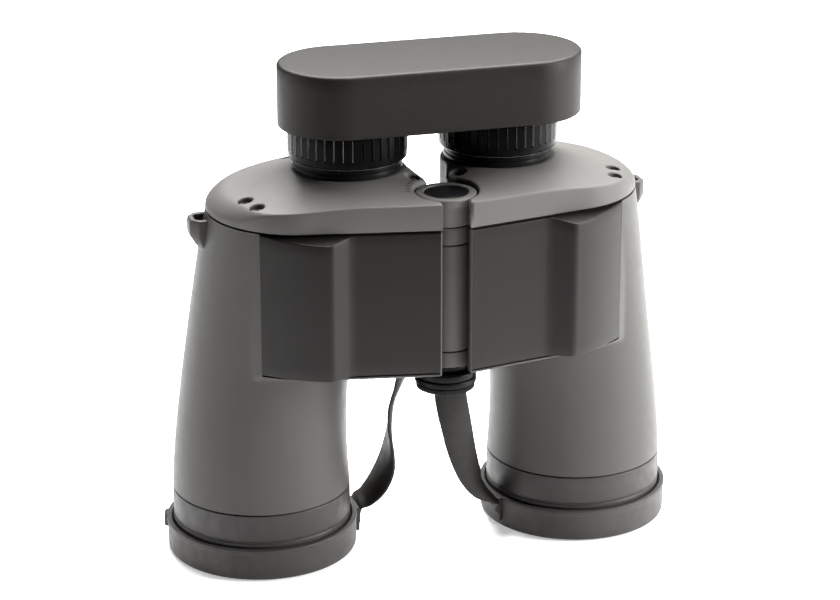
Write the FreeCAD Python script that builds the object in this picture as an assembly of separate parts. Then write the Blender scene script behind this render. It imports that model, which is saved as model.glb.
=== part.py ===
import FreeCAD, Part
import math
import os

Vector = FreeCAD.Vector

# Porro prism binoculars, 7x50 class, standing on their capped objective ends.
# Millimetres.  +X runs from the left barrel to the right one, -Y is the side with the
# grip panels and the hinge, +Z runs from the objectives up to the eyepieces.
# The origin is the centre of the bounding box, on the surface the caps stand on.
# Every side piece is drawn for the right barrel (+X) and mirrored for the left one.

# ---- driving dimensions -------------------------------------------------------------
BARREL_X, BARREL_Y = 61.8, 6.1        # objective axis
EYE_X, EYE_Y = 28.5, 1.3              # eyepiece axis: 57 mm between the eyes at rest
HINGE_Y = -27.9                       # hinge axis, at x = 0

CAP_R, CAP_HEIGHT, CAP_FLOOR, CAP_WALL = 35.5, 12.2, 2.0, 1.6
RING_R, RING_BASE = 33.2, 2.2         # objective ring
BARREL_BASE = 25.0                    # seam between the objective ring and the barrel
HOUSING_BASE = 78.2                   # underside of the prism housing
SEAM = 133.6                          # seam between the body and the top cover
GASKET = 0.3
COVER_BASE = SEAM + GASKET
COVER_TOP = 147.2                     # seat of the eyepiece
COVER_SLOPE = 0.26                    # fall of the cover away from the eyepiece
WALL = 2.6
COVER_WALL = 2.4

HOUSING_X, HOUSING_Y, HOUSING_R = 45.6, 1.8, 35.2   # round outer end of the housing
BOSS_R = 21.2                         # housing round the eyepiece
FRONT_X, FRONT_Y = 5.2, -41.6         # front corner beside the hinge
EAR_X, EAR_Y = 4.0, -14.0             # ear behind the hinge
INNER_X, INNER_Y = 7.3, -4.0          # wall that faces the other barrel
WRAP_R, COVER_WRAP_R = 11.4, 11.8     # hollow round the hinge

KNUCKLE_R = 10.4
SHAFT_R, BUSH_R = 5.0, 6.6
RUNNING = 0.05                        # radial running fit on the hinge shaft
LEFT_LOW_KNUCKLE = (80.2, 86.0)
RIGHT_KNUCKLE = (86.4, 126.5)
LEFT_HIGH_KNUCKLE = (126.9, 133.3)
HEAD = (133.6, 141.0)
NUT = (77.2, 79.9)
NUT_R = 8.3
INDEX_R, INDEX_TOP = 11.1, 143.9
DISC_R = 8.1

PANEL_THICK = 2.4
PANEL_BASE, PANEL_TOP = 79.6, 133.2
PANEL_INNER_X = 6.4
RIDGE_FOOT_X = 37.1
RIDGE_CREST = (45.6, -39.6)
RIDGE_SIDE = (57.6, -33.4)            # on the curve from the crest to the outer edge
RIDGE_BACK = (52.0, -31.6)            # inside the housing's wall, behind the ridge
BEVEL_Y, BEVEL_DEPTH, BEVEL_DROP = -33.0, 7.0, 2.0   # slope on top of the ridge
PANEL_OUTER_ANGLE = -50.5             # outer edge, round the housing's axis

SCREWS = [(69.5, -10.8), (67.2, -19.2), (8.8, -14.2), (45.0, 27.0)]
SCREW_R, SCREW_HEAD_R, SCREW_WELL_R, SCREW_POST_R = 1.4, 2.3, 2.7, 3.4

LENS_R, APERTURE_R = 26.0, 25.0       # 50 mm clear aperture
HOOD_R = 28.5                         # inside of the objective ring before the lens
SPIGOT_R, CELL_R = 30.4, 27.5         # barrel end inside the ring, and the lens cell in it
SPIGOT_BASE, CELL_BASE = 15.0, 15.5
PRISM = 23.8                          # width of a prism, half its long face
PLATE_BASE, PLATE_TOP = 108.0, 110.0

COLLAR_R, COLLAR_TOP = 19.9, 151.4
FOCUS_R, FOCUS_BASE, FOCUS_TOP = 21.8, 151.6, 163.1
SLEEVE_R, SLEEVE_BORE, SLEEVE_TOP = 14.5, 13.0, 172.0
TUBE_R, TUBE_BORE = 12.93, 11.4
EYECUP_R, EYECUP_TOP = 16.0, 181.5

GUARD_HALF, GUARD_OFFSET, GUARD_R = 33.5, 2.75, 23.1
GUARD_BASE, GUARD_TOP, GUARD_WALL = 163.6, 186.9, 1.2

STRAP_EYE_R = 11.3
STRAP_WIDTH, STRAP_THICK = 12.0, 1.2


# ---- helpers ------------------------------------------------------------------------
def cylinder(x, y, radius, low, high):
    return Part.makeCylinder(radius, high - low, Vector(x, y, low))


def tube(x, y, outer, inner, low, high):
    return cylinder(x, y, outer, low, high).cut(cylinder(x, y, inner, low - 1, high + 1))


def box(low, high):
    size = [b - a for a, b in zip(low, high)]
    return Part.makeBox(*size, Vector(*low))


def slab(points, low, high):
    """A flat polygon in plan, drawn up from low to high."""
    corners = [Vector(x, y, low) for x, y in points]
    wire = Part.makePolygon(corners + corners[:1])
    return Part.Face(wire).extrude(Vector(0, 0, high - low))


def revolved(x, y, profile):
    """A closed (radius, height) profile turned round the vertical axis at x, y."""
    corners = [Vector(x + radius, y, height) for radius, height in profile]
    wire = Part.makePolygon(corners + corners[:1])
    return Part.Face(wire).revolve(Vector(x, y, 0), Vector(0, 0, 1), 360)


def mirrored(shape):
    return shape.mirror(Vector(0, 0, 0), Vector(1, 0, 0))


def joined(*shapes):
    first, *rest = shapes
    return first.fuse(rest).removeSplitter()


def polar(x, y, radius, degrees):
    angle = math.radians(degrees)
    return (x + radius * math.cos(angle), y + radius * math.sin(angle))


# ---- plan of the prism housing ------------------------------------------------------
def front_angle():
    """Direction, from the housing's axis, of the front wall's tangent point."""
    dx, dy = FRONT_X - HOUSING_X, FRONT_Y - HOUSING_Y
    reach = math.hypot(dx, dy)
    return math.degrees(math.atan2(dy, dx)) + math.degrees(math.acos(HOUSING_R / reach))


def back_angle():
    """Direction of the tangent that joins the housing's round end to the eyepiece boss."""
    dx, dy = EYE_X - HOUSING_X, EYE_Y - HOUSING_Y
    reach = math.hypot(dx, dy)
    toward = math.degrees(math.atan2(dy, dx)) % 360
    return toward - math.degrees(math.acos((HOUSING_R - BOSS_R) / reach))


def front_y(x, inset=0.0):
    """Y of the front wall at x, set back square to itself by inset."""
    angle = math.radians(front_angle())
    normal = (math.cos(angle), math.sin(angle))
    along = (HOUSING_R - inset) - (x - HOUSING_X) * normal[0]
    return HOUSING_Y + along / normal[1]


def housing_outline(inset):
    """Corners of the straight-sided part of the housing's plan, set back by inset."""
    return [
        (FRONT_X + inset, front_y(FRONT_X + inset, inset)),
        polar(HOUSING_X, HOUSING_Y, HOUSING_R - inset, front_angle()),
        (HOUSING_X, HOUSING_Y),
        polar(HOUSING_X, HOUSING_Y, HOUSING_R - inset, back_angle()),
        polar(EYE_X, EYE_Y, BOSS_R - inset, back_angle()),
        (INNER_X + inset, EYE_Y),
        (INNER_X + inset, INNER_Y),
        (EAR_X + inset, EAR_Y),
        (EAR_X + inset, HINGE_Y),
        (FRONT_X + inset, HINGE_Y),
    ]


def housing(inset, low, high, wrap_r):
    """The housing's plan set back by inset, drawn up from low to high."""
    solid = joined(
        slab(housing_outline(inset), low, high),
        cylinder(HOUSING_X, HOUSING_Y, HOUSING_R - inset, low, high),
        cylinder(EYE_X, EYE_Y, BOSS_R - inset, low, high),
    )
    return solid.cut(cylinder(0, HINGE_Y, wrap_r + inset, low - 1, high + 1))


# ---- body ---------------------------------------------------------------------------
BARREL_SECTIONS = [                   # height, axis x, axis y, radius
    (BARREL_BASE, BARREL_X, BARREL_Y, RING_R),
    (50.0, 61.3, 6.3, 31.7),
    (78.0, 58.4, 5.8, 31.0),
    (105.0, 53.4, 4.2, 32.2),
    (SEAM, HOUSING_X, HOUSING_Y, HOUSING_R),
]


def barrel(inset):
    wires = []
    for height, x, y, radius in BARREL_SECTIONS:
        circle = Part.makeCircle(radius - inset, Vector(x, y, height))
        wires.append(Part.Wire([circle]))
    return Part.makeLoft(wires, True)


def panel_strip(low, high, back, front):
    """Plan strip of the grip panel, from back behind the housing's face to front before it."""
    start = front_angle()
    inner, outer = HOUSING_R - back, HOUSING_R + front
    straight = slab([
        (PANEL_INNER_X, front_y(PANEL_INNER_X, -front)),
        polar(HOUSING_X, HOUSING_Y, outer, start),
        polar(HOUSING_X, HOUSING_Y, inner, start),
        (PANEL_INNER_X, front_y(PANEL_INNER_X, back)),
    ], low, high)
    sector = slab([
        (HOUSING_X, HOUSING_Y),
        polar(HOUSING_X, HOUSING_Y, 2 * outer, start),
        polar(HOUSING_X, HOUSING_Y, 2 * outer, PANEL_OUTER_ANGLE),
    ], low, high)
    curved = tube(HOUSING_X, HOUSING_Y, outer, inner, low, high).common(sector)
    return joined(straight, curved)


def ridge():
    """Finger ridge of the grip panel, with a bevelled top."""
    foot_y = front_y(RIDGE_FOOT_X, PANEL_THICK / 2)
    outer = polar(HOUSING_X, HOUSING_Y, HOUSING_R, PANEL_OUTER_ANGLE)
    inner = polar(HOUSING_X, HOUSING_Y, HOUSING_R - PANEL_THICK / 2, PANEL_OUTER_ANGLE)
    low = Vector(*RIDGE_CREST, PANEL_BASE)
    arc = Part.Arc(low, Vector(*RIDGE_SIDE, PANEL_BASE), Vector(*outer, PANEL_BASE)).toShape()
    corners = [Vector(*outer, PANEL_BASE), Vector(*inner, PANEL_BASE),
               Vector(*RIDGE_BACK, PANEL_BASE), Vector(RIDGE_FOOT_X, foot_y, PANEL_BASE),
               Vector(RIDGE_FOOT_X, front_y(RIDGE_FOOT_X), PANEL_BASE), low]
    edges = [arc] + [Part.makeLine(a, b) for a, b in zip(corners, corners[1:])]
    face = Part.Face(Part.Wire(edges))
    solid = face.extrude(Vector(0, 0, PANEL_TOP - PANEL_BASE))
    start, above = RIDGE_FOOT_X - 7.1, PANEL_TOP + 1
    tip = BEVEL_Y - BEVEL_DEPTH
    bevel = Part.Face(Part.makePolygon([
        Vector(start, BEVEL_Y, PANEL_TOP + 0.2),
        Vector(start, tip, PANEL_TOP - BEVEL_DROP),
        Vector(start, tip, above),
        Vector(start, BEVEL_Y, above),
        Vector(start, BEVEL_Y, PANEL_TOP + 0.2),
    ])).extrude(Vector(50, 0, 0))
    return solid.cut(bevel)


def grip_panel():
    skin = panel_strip(PANEL_BASE, PANEL_TOP, PANEL_THICK, 0.0)
    return joined(skin, ridge())


def screw_posts(low, high):
    """Pillars for the cover screws, each tied to the nearest wall by a rib."""
    posts = []
    for x, y in SCREWS:
        dx, dy = x - HOUSING_X, y - HOUSING_Y
        reach = math.hypot(dx, dy)
        rib = 2.0
        nx, ny = -dy / reach * rib, dx / reach * rib
        far = (HOUSING_R - 1.0) / reach
        end = (HOUSING_X + dx * far, HOUSING_Y + dy * far)
        posts.append(cylinder(x, y, SCREW_POST_R, low, high))
        if reach < HOUSING_R:
            posts.append(slab([(x + nx, y + ny), (x - nx, y - ny),
                               (end[0] - nx, end[1] - ny), (end[0] + nx, end[1] + ny)], low, high))
    return posts


def body_shell(knuckles):
    outer = joined(barrel(0.0), housing(0.0, HOUSING_BASE, SEAM, WRAP_R))
    solid = outer.cut(panel_strip(PANEL_BASE - 0.2, SEAM + 1, PANEL_THICK, 3.0))
    hollow = joined(
        barrel(WALL),
        housing(PANEL_THICK + WALL - 0.4, HOUSING_BASE + WALL, SEAM, WRAP_R),
    )
    behind_panel = PANEL_THICK + 2.0
    open_round = cylinder(HOUSING_X, HOUSING_Y, HOUSING_R - behind_panel, HOUSING_BASE, SEAM)
    open_plan = housing(behind_panel, HOUSING_BASE, SEAM, WRAP_R)
    front = box((0, -60, HOUSING_BASE), (120, -13, SEAM))
    hollow = hollow.cut(front.cut(open_round).cut(open_plan))
    solid = solid.cut(hollow)
    post_base = SEAM - 14.0
    posts = [post.common(housing(1.0, post_base, SEAM, WRAP_R))
             for post in screw_posts(post_base, SEAM)]
    solid = solid.fuse(posts)
    for x, y in SCREWS:
        solid = solid.cut(cylinder(x, y, SCREW_R, SEAM - 10, SEAM + 1))
    spigot = tube(BARREL_X, BARREL_Y, SPIGOT_R, CELL_R, SPIGOT_BASE, BARREL_BASE + 2)
    neck = tube(BARREL_X, BARREL_Y, RING_R - 1.5, CELL_R, BARREL_BASE, BARREL_BASE + 2)
    solid = solid.fuse([spigot, neck])
    for low, high in knuckles:
        web = box((6.0, HINGE_Y - 3.0, low), (14.2, HINGE_Y + 7.0, high))
        solid = solid.fuse([cylinder(0, HINGE_Y, KNUCKLE_R, low, high), web])
    return solid.removeSplitter()


def strap_lug():
    """Neck-strap lug: a bracket on the outer wall with a slot behind it."""
    low, high = 120.0, 131.5
    block = box((79.0, -0.5, low), (87.2, 11.5, high))
    chamfer = slab([(87.3, -0.6), (84.8, -0.6), (87.3, 2.0)], low, high)
    chamfer_back = slab([(87.3, 11.6), (84.8, 11.6), (87.3, 9.0)], low, high)
    slot = box((78.0, 2.0, low - 1), (85.2, 9.0, high + 1))
    skirt = Part.makeCone(HOUSING_R + 12, HOUSING_R + 2.5, 9.0,
                          Vector(HOUSING_X, HOUSING_Y, low + 9.0), Vector(0, 0, -1))
    lower = box((78.0, -2.0, low - 1), (90.0, 13.0, low + 4.0))
    solid = block.cut(chamfer).cut(chamfer_back).cut(slot)
    solid = solid.cut(lower.cut(skirt))
    solid = solid.cut(barrel(0.0))
    return max(solid.Solids, key=lambda piece: piece.Volume)


# ---- top cover ----------------------------------------------------------------------
def cover_cone(lower):
    height = COVER_TOP - COVER_BASE
    spread = BOSS_R + height / COVER_SLOPE
    return Part.makeCone(spread, BOSS_R, height, Vector(EYE_X, EYE_Y, COVER_BASE - lower))


def cover_height(x, y):
    reach = math.hypot(x - EYE_X, y - EYE_Y)
    return COVER_TOP - max(0.0, reach - BOSS_R) * COVER_SLOPE


def shoulder_trim():
    """What the rounded shoulder takes off the cover's round end."""
    rounding = 6.0
    reach = BOSS_R + (COVER_TOP - COVER_BASE) / COVER_SLOPE
    peak = Part.makeCone(reach, 0, reach * COVER_SLOPE, Vector(EYE_X, EYE_Y, COVER_BASE))
    sharp = cylinder(HOUSING_X, HOUSING_Y, HOUSING_R, COVER_BASE, COVER_TOP + 10).common(peak)
    shoulder = [edge for edge in sharp.Edges if edge.BoundBox.ZMin > COVER_BASE + 1
                and edge.BoundBox.XLength > HOUSING_R]
    trim = sharp.cut(sharp.makeFillet(rounding, shoulder))
    trim = trim.cut(slab(housing_outline(0.0), COVER_BASE - 1, COVER_TOP + 20))
    return trim.cut(cylinder(EYE_X, EYE_Y, BOSS_R, COVER_BASE - 1, COVER_TOP + 20))


def top_cover():
    outer = housing(0.0, COVER_BASE, COVER_TOP, COVER_WRAP_R).common(cover_cone(0.0))
    outer = outer.cut(shoulder_trim())
    inner = housing(COVER_WALL, COVER_BASE - 1, COVER_TOP, COVER_WRAP_R)
    inner = inner.common(cover_cone(COVER_WALL + 1.6))
    solid = outer.cut(inner)
    posts = [post.common(outer) for post in screw_posts(COVER_BASE, COVER_TOP)]
    solid = solid.fuse(posts)
    solid = solid.cut(cylinder(EYE_X, EYE_Y, 17.2, COVER_BASE - 1, COVER_TOP + 1))
    for x, y in SCREWS:
        floor = cover_height(x, y) - 4.2
        solid = solid.cut(cylinder(x, y, SCREW_WELL_R, floor, COVER_TOP + 1))
        solid = solid.cut(cylinder(x, y, SCREW_R, COVER_BASE - 1, COVER_TOP))
    return solid.removeSplitter()


def cover_gasket():
    solid = housing(0.4, SEAM, COVER_BASE, WRAP_R + 0.2)
    solid = solid.cut(housing(COVER_WALL, SEAM - 1, COVER_BASE + 1, WRAP_R))
    for x, y in SCREWS:
        solid = solid.cut(cylinder(x, y, SCREW_POST_R + 0.1, SEAM - 1, COVER_BASE + 1))
    return max(solid.Solids, key=lambda piece: piece.Volume)


def cover_screws():
    screws = []
    for x, y in SCREWS:
        seat = cover_height(x, y) - 4.2
        shank = cylinder(x, y, SCREW_R, SEAM - 8, seat)
        head = cylinder(x, y, SCREW_HEAD_R, seat, seat + 1.6)
        slot = joined(box((x - 1.5, y - 0.3, seat + 0.8), (x + 1.5, y + 0.3, seat + 2)),
                      box((x - 0.3, y - 1.5, seat + 0.8), (x + 0.3, y + 1.5, seat + 2)))
        screws.append(joined(shank, head).cut(slot))
    return Part.makeCompound(screws)


# ---- objective end ------------------------------------------------------------------
def objective_ring():
    outer = cylinder(BARREL_X, BARREL_Y, RING_R, RING_BASE, BARREL_BASE)
    hood = cylinder(BARREL_X, BARREL_Y, HOOD_R, RING_BASE - 1, BARREL_BASE + 1)
    seat = cylinder(BARREL_X, BARREL_Y, SPIGOT_R, SPIGOT_BASE - 0.2, BARREL_BASE + 1)
    return outer.cut(hood).cut(seat)


def objective_cell():
    stop_base, stop_top = 33.6, 36.0
    return revolved(BARREL_X, BARREL_Y, [
        (CELL_R, CELL_BASE), (CELL_R, stop_top), (APERTURE_R, stop_top),
        (APERTURE_R, stop_base), (LENS_R, stop_base), (LENS_R, CELL_BASE)])


def lens(x, y, radius, low, high, low_sag, high_sag):
    """A lens whose rim runs from low to high; a positive sag bulges outwards."""
    points = {
        "low_rim": Vector(x + radius, y, low), "high_rim": Vector(x + radius, y, high),
        "low_pole": Vector(x, y, low - low_sag), "high_pole": Vector(x, y, high + high_sag)}

    def face_edge(rim, pole, height, sag):
        if abs(sag) < 1e-6:
            return Part.makeLine(rim, pole)
        half = radius / 2
        ball = (radius * radius + sag * sag) / (2 * abs(sag))
        drop = abs(sag) - (ball - math.sqrt(ball * ball - half * half))
        sign = 1 if sag > 0 else -1
        outward = 1 if height == high else -1
        middle = Vector(x + half, y, height + outward * sign * drop)
        return Part.Arc(rim, middle, pole).toShape()

    edges = [
        Part.makeLine(points["low_rim"], points["high_rim"]),
        face_edge(points["high_rim"], points["high_pole"], high, high_sag),
        Part.makeLine(points["high_pole"], points["low_pole"]),
        face_edge(points["low_rim"], points["low_pole"], low, low_sag),
    ]
    face = Part.Face(Part.Wire(Part.__sortEdges__(edges)))
    return face.revolve(Vector(x, y, 0), Vector(0, 0, 1), 360)


def objective_cap():
    solid = cylinder(BARREL_X, BARREL_Y, CAP_R, 0, CAP_HEIGHT)
    solid = solid.cut(cylinder(BARREL_X, BARREL_Y, CAP_R - CAP_WALL, CAP_FLOOR, CAP_HEIGHT + 1))
    tab_reach, tab_half = CAP_R + 1.8, 5.0
    tab = box((BARREL_X + CAP_R - 1.0, BARREL_Y - tab_half, CAP_HEIGHT - 4.0),
              (BARREL_X + tab_reach, BARREL_Y + tab_half, CAP_HEIGHT))
    tab.rotate(Vector(BARREL_X, BARREL_Y, 0), Vector(0, 0, 1), 16)
    return joined(solid, tab)


# ---- prisms -------------------------------------------------------------------------
def middle_axis():
    """Where the light runs down between the two prisms."""
    dx, dy = EYE_X - BARREL_X, EYE_Y - BARREL_Y
    turn = math.radians(45)
    scale = math.cos(turn)
    return (BARREL_X + scale * (dx * math.cos(turn) - dy * math.sin(turn)),
            BARREL_Y + scale * (dx * math.sin(turn) + dy * math.cos(turn)))


def prism(start, end, base, up):
    """A right-angled prism whose long face joins two axes; up is +1 or -1."""
    dx, dy = end[0] - start[0], end[1] - start[1]
    reach = math.hypot(dx, dy)
    ux, uy = dx / reach, dy / reach
    centre = ((start[0] + end[0]) / 2, (start[1] + end[1]) / 2)
    half = reach

    def corner(along, across, height):
        return Vector(centre[0] + ux * along - uy * across,
                      centre[1] + uy * along + ux * across, height)

    side = -reach / 2
    flat = 2.0
    profile = [corner(-half, side, base), corner(half, side, base),
               corner(flat, side, base + up * (half - flat)),
               corner(-flat, side, base + up * (half - flat))]
    face = Part.Face(Part.makePolygon(profile + profile[:1]))
    solid = face.extrude(Vector(-uy * reach, ux * reach, 0))
    room = housing(PANEL_THICK + WALL + 0.2, base - half, base + half, WRAP_R)
    return solid.common(room)


def prism_clip(start, end, base, up):
    """Spring strip over a prism's roof, with its feet on the plate."""
    dx, dy = end[0] - start[0], end[1] - start[1]
    reach = math.hypot(dx, dy)
    ux, uy = dx / reach, dy / reach
    centre = ((start[0] + end[0]) / 2, (start[1] + end[1]) / 2)
    gap, sheet, half_width = 0.2, 0.6, 3.0
    inside, outside = reach / 2 + gap, reach / 2 + gap + sheet
    roof = base + up * (reach - 2.0 + gap)

    def bar(across_low, across_high, height_low, height_high):
        low, high = sorted((height_low, height_high))
        corners = []
        for along, across in ((-half_width, across_low), (half_width, across_low),
                              (half_width, across_high), (-half_width, across_high)):
            corners.append((centre[0] + ux * along - uy * across,
                            centre[1] + uy * along + ux * across))
        return slab(corners, low, high)

    return joined(
        bar(-outside, -inside, base, roof + up * sheet),
        bar(inside, outside, base, roof + up * sheet),
        bar(-outside, outside, roof, roof + up * sheet),
    )


def prism_plate():
    solid = housing(PANEL_THICK + WALL, PLATE_BASE, PLATE_TOP, WRAP_R)
    middle = middle_axis()
    for x, y, radius in ((BARREL_X, BARREL_Y, 10.0), (EYE_X, EYE_Y, 9.5), (*middle, 9.5)):
        solid = solid.cut(cylinder(x, y, radius, PLATE_BASE - 1, PLATE_TOP + 1))
    return solid


# ---- eyepiece -----------------------------------------------------------------------
KEY_HALF, KEY_CLEAR = 1.5, 0.1
KEYWAY_LOW, KEYWAY_HIGH = 151.0, 163.0
KEY_LOW, KEY_HIGH = 154.8, 159.2


def ocular_housing():
    """Fixed sleeve with the collar that clamps it to the cover."""
    solid = joined(
        cylinder(EYE_X, EYE_Y, 17.2, 139.0, COVER_TOP),
        cylinder(EYE_X, EYE_Y, COLLAR_R, COVER_TOP, COLLAR_TOP),
        cylinder(EYE_X, EYE_Y, SLEEVE_R, COLLAR_TOP, SLEEVE_TOP),
    )
    solid = solid.cut(cylinder(EYE_X, EYE_Y, SLEEVE_BORE, 138.0, SLEEVE_TOP + 1))
    keyway = box((EYE_X - KEY_HALF - KEY_CLEAR, EYE_Y, KEYWAY_LOW),
                 (EYE_X + KEY_HALF + KEY_CLEAR, EYE_Y + 14.0, KEYWAY_HIGH))
    return solid.cut(keyway)


def focus_ring():
    solid = tube(EYE_X, EYE_Y, FOCUS_R, SLEEVE_R + 0.06, FOCUS_BASE, FOCUS_TOP)
    rib_count, groove_r, groove_base = 40, 0.45, FOCUS_BASE + 2.9
    grooves = []
    for index in range(rib_count):
        x, y = polar(EYE_X, EYE_Y, FOCUS_R, 360.0 * index / rib_count)
        grooves.append(cylinder(x, y, groove_r, groove_base, FOCUS_TOP + 1))
    return solid.cut(grooves)


def ocular_tube():
    """Sliding lens tube with the key that stops it turning."""
    solid = tube(EYE_X, EYE_Y, TUBE_R, TUBE_BORE, 142.0, 168.0)
    key = box((EYE_X - KEY_HALF, EYE_Y + TUBE_R - 1.0, KEY_LOW),
              (EYE_X + KEY_HALF, EYE_Y + 13.8, KEY_HIGH))
    field_stop = tube(EYE_X, EYE_Y, TUBE_BORE, 8.0, 150.6, 151.4)
    return joined(solid, key, field_stop)


def eyecup():
    """Soft rubber cup that turns on the sleeve's rim."""
    return revolved(EYE_X, EYE_Y, [
        (SLEEVE_R + 0.06, FOCUS_TOP + 0.5), (EYECUP_R, FOCUS_TOP + 0.5),
        (EYECUP_R, EYECUP_TOP), (EYECUP_R - 1.4, EYECUP_TOP),
        (EYECUP_R - 1.9, SLEEVE_TOP + 1.2), (SLEEVE_R - 1.2, SLEEVE_TOP + 1.2),
        (SLEEVE_R - 1.2, SLEEVE_TOP + 0.06), (SLEEVE_R + 0.06, SLEEVE_TOP + 0.06)])


def pill(radius, low, high):
    ends = [cylinder(GUARD_OFFSET + side * GUARD_HALF, EYE_Y, radius, low, high) for side in (-1, 1)]
    middle = box((GUARD_OFFSET - GUARD_HALF, EYE_Y - radius, low),
                 (GUARD_OFFSET + GUARD_HALF, EYE_Y + radius, high))
    return joined(*ends, middle)


def rain_guard():
    outer = pill(GUARD_R, GUARD_BASE, GUARD_TOP)
    rim = [edge for edge in outer.Edges
           if abs(edge.BoundBox.ZMin - GUARD_TOP) < 0.01 and edge.BoundBox.ZLength < 0.01]
    outer = outer.makeFillet(1.0, rim)
    return outer.cut(pill(GUARD_R - GUARD_WALL, GUARD_BASE - 1, GUARD_TOP - 2.0))


# ---- hinge --------------------------------------------------------------------------
SOCKET_R, SOCKET_BODY_R, SOCKET_TOP = 3.175, 4.2, 81.0
POST_BASE = 69.6


def hinge_shaft():
    solid = cylinder(0, HINGE_Y, SHAFT_R, POST_BASE, HEAD[1] - 2)
    return solid.cut(cylinder(0, HINGE_Y, SOCKET_BODY_R, POST_BASE - 1, SOCKET_TOP))


def hinge_head():
    solid = joined(
        cylinder(0, HINGE_Y, KNUCKLE_R, *HEAD),
        cylinder(0, HINGE_Y, INDEX_R, HEAD[1] - 1.5, INDEX_TOP),
    )
    solid = solid.cut(cylinder(0, HINGE_Y, DISC_R, INDEX_TOP - 1.2, INDEX_TOP + 1))
    return solid.cut(cylinder(0, HINGE_Y, SHAFT_R, HEAD[0] - 1, HEAD[1] - 2))


def hinge_bushes():
    return Part.makeCompound([
        tube(0, HINGE_Y, BUSH_R, SHAFT_R + RUNNING, *span)
        for span in (LEFT_LOW_KNUCKLE, LEFT_HIGH_KNUCKLE)])


def hinge_washers():
    gaps = ((LEFT_LOW_KNUCKLE[1], RIGHT_KNUCKLE[0]), (RIGHT_KNUCKLE[1], LEFT_HIGH_KNUCKLE[0]))
    slack = 0.04
    return Part.makeCompound([
        tube(0, HINGE_Y, KNUCKLE_R - 0.6, SHAFT_R + RUNNING, low + slack, high - slack)
        for low, high in gaps])


def strap_retainer():
    solid = tube(0, HINGE_Y, STRAP_EYE_R - 0.5, SHAFT_R, POST_BASE, POST_BASE + 1.9)
    notch_count = 60
    notches = []
    for index in range(notch_count):
        x, y = polar(0, HINGE_Y, STRAP_EYE_R - 0.5, 360.0 * index / notch_count)
        notches.append(cylinder(x, y, 0.3, POST_BASE - 1, POST_BASE + 3))
    return solid.cut(notches)


LEFT_EYE = (74.4, 77.0)
RIGHT_EYE = (71.8, 74.1)


def strap_eye(span):
    return tube(0, HINGE_Y, STRAP_EYE_R, SHAFT_R + 0.3, *span)


# ---- cap straps ---------------------------------------------------------------------
# Each strap is a moulded rubber ribbon: a middle line with the direction of its width.
LEFT_STRAP = [
    ((-9.3, -20.9, 75.7), (0.60, 0.80, 0.00)),
    ((-12.6, -18.4, 74.4), (0.60, 0.80, 0.00)),
    ((-14.5, -16.8, 67.0), (0.52, 0.85, 0.00)),
    ((-16.1, -13.5, 58.7), (0.42, 0.90, 0.00)),
    ((-15.9, -10.0, 50.6), (0.33, 0.94, 0.00)),
    ((-15.2, -7.0, 43.9), (0.18, 0.98, 0.00)),
    ((-14.8, -4.5, 37.3), (0.00, 1.00, 0.00)),
    ((-15.0, -2.0, 30.3), (-0.20, 0.97, 0.00)),
    ((-16.3, 0.2, 24.2), (-0.32, 0.94, 0.00)),
    ((-18.6, 2.2, 18.8), (-0.32, 0.94, 0.05)),
    ((-21.8, 3.8, 14.6), (-0.20, 0.97, 0.08)),
    ((-24.9, 4.7, 12.4), (-0.05, 1.00, 0.03)),
    ((-25.6, 4.9, 9.6), (0.03, 1.00, 0.00)),
    ((-25.6, 4.9, 6.0), (0.03, 1.00, 0.00)),
]
RIGHT_STRAP = [
    ((5.0, -17.4, 72.9), (-0.90, 0.43, 0.00)),
    ((6.2, -15.0, 71.7), (-0.91, 0.40, 0.00)),
    ((5.9, -14.8, 66.0), (-0.94, 0.32, 0.00)),
    ((6.0, -15.2, 59.1), (-0.96, 0.25, 0.00)),
    ((6.9, -15.4, 53.3), (-0.98, 0.10, 0.00)),
    ((8.3, -15.0, 47.1), (-0.98, -0.08, 0.00)),
    ((9.8, -14.3, 40.5), (-0.95, -0.22, 0.05)),
    ((12.1, -12.9, 32.9), (-0.90, -0.42, 0.08)),
    ((15.2, -10.7, 25.5), (-0.78, -0.60, 0.12)),
    ((19.3, -7.8, 19.0), (-0.62, -0.76, 0.15)),
    ((23.6, -4.9, 14.4), (-0.30, -0.95, 0.06)),
    ((26.1, -2.6, 11.8), (0.10, -0.99, 0.00)),
    ((26.6, -2.1, 9.2), (0.22, -0.97, 0.00)),
    ((26.6, -2.1, 6.0), (0.22, -0.97, 0.00)),
]


def ribbon(route):
    wires = []
    for index, (centre, width) in enumerate(route):
        here = Vector(*centre)
        before = Vector(*route[max(index - 1, 0)][0])
        after = Vector(*route[min(index + 1, len(route) - 1)][0])
        along = (after - before).normalize()
        across = Vector(*width)
        across = (across - along * across.dot(along)).normalize()
        normal = along.cross(across)
        corners = []
        for side, face in ((-1, -1), (1, -1), (1, 1), (-1, 1)):
            corners.append(here + across * (side * STRAP_WIDTH / 2)
                           + normal * (face * STRAP_THICK / 2))
        wires.append(Part.makePolygon(corners + corners[:1]))
    return Part.makeLoft(wires, True, True)


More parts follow.
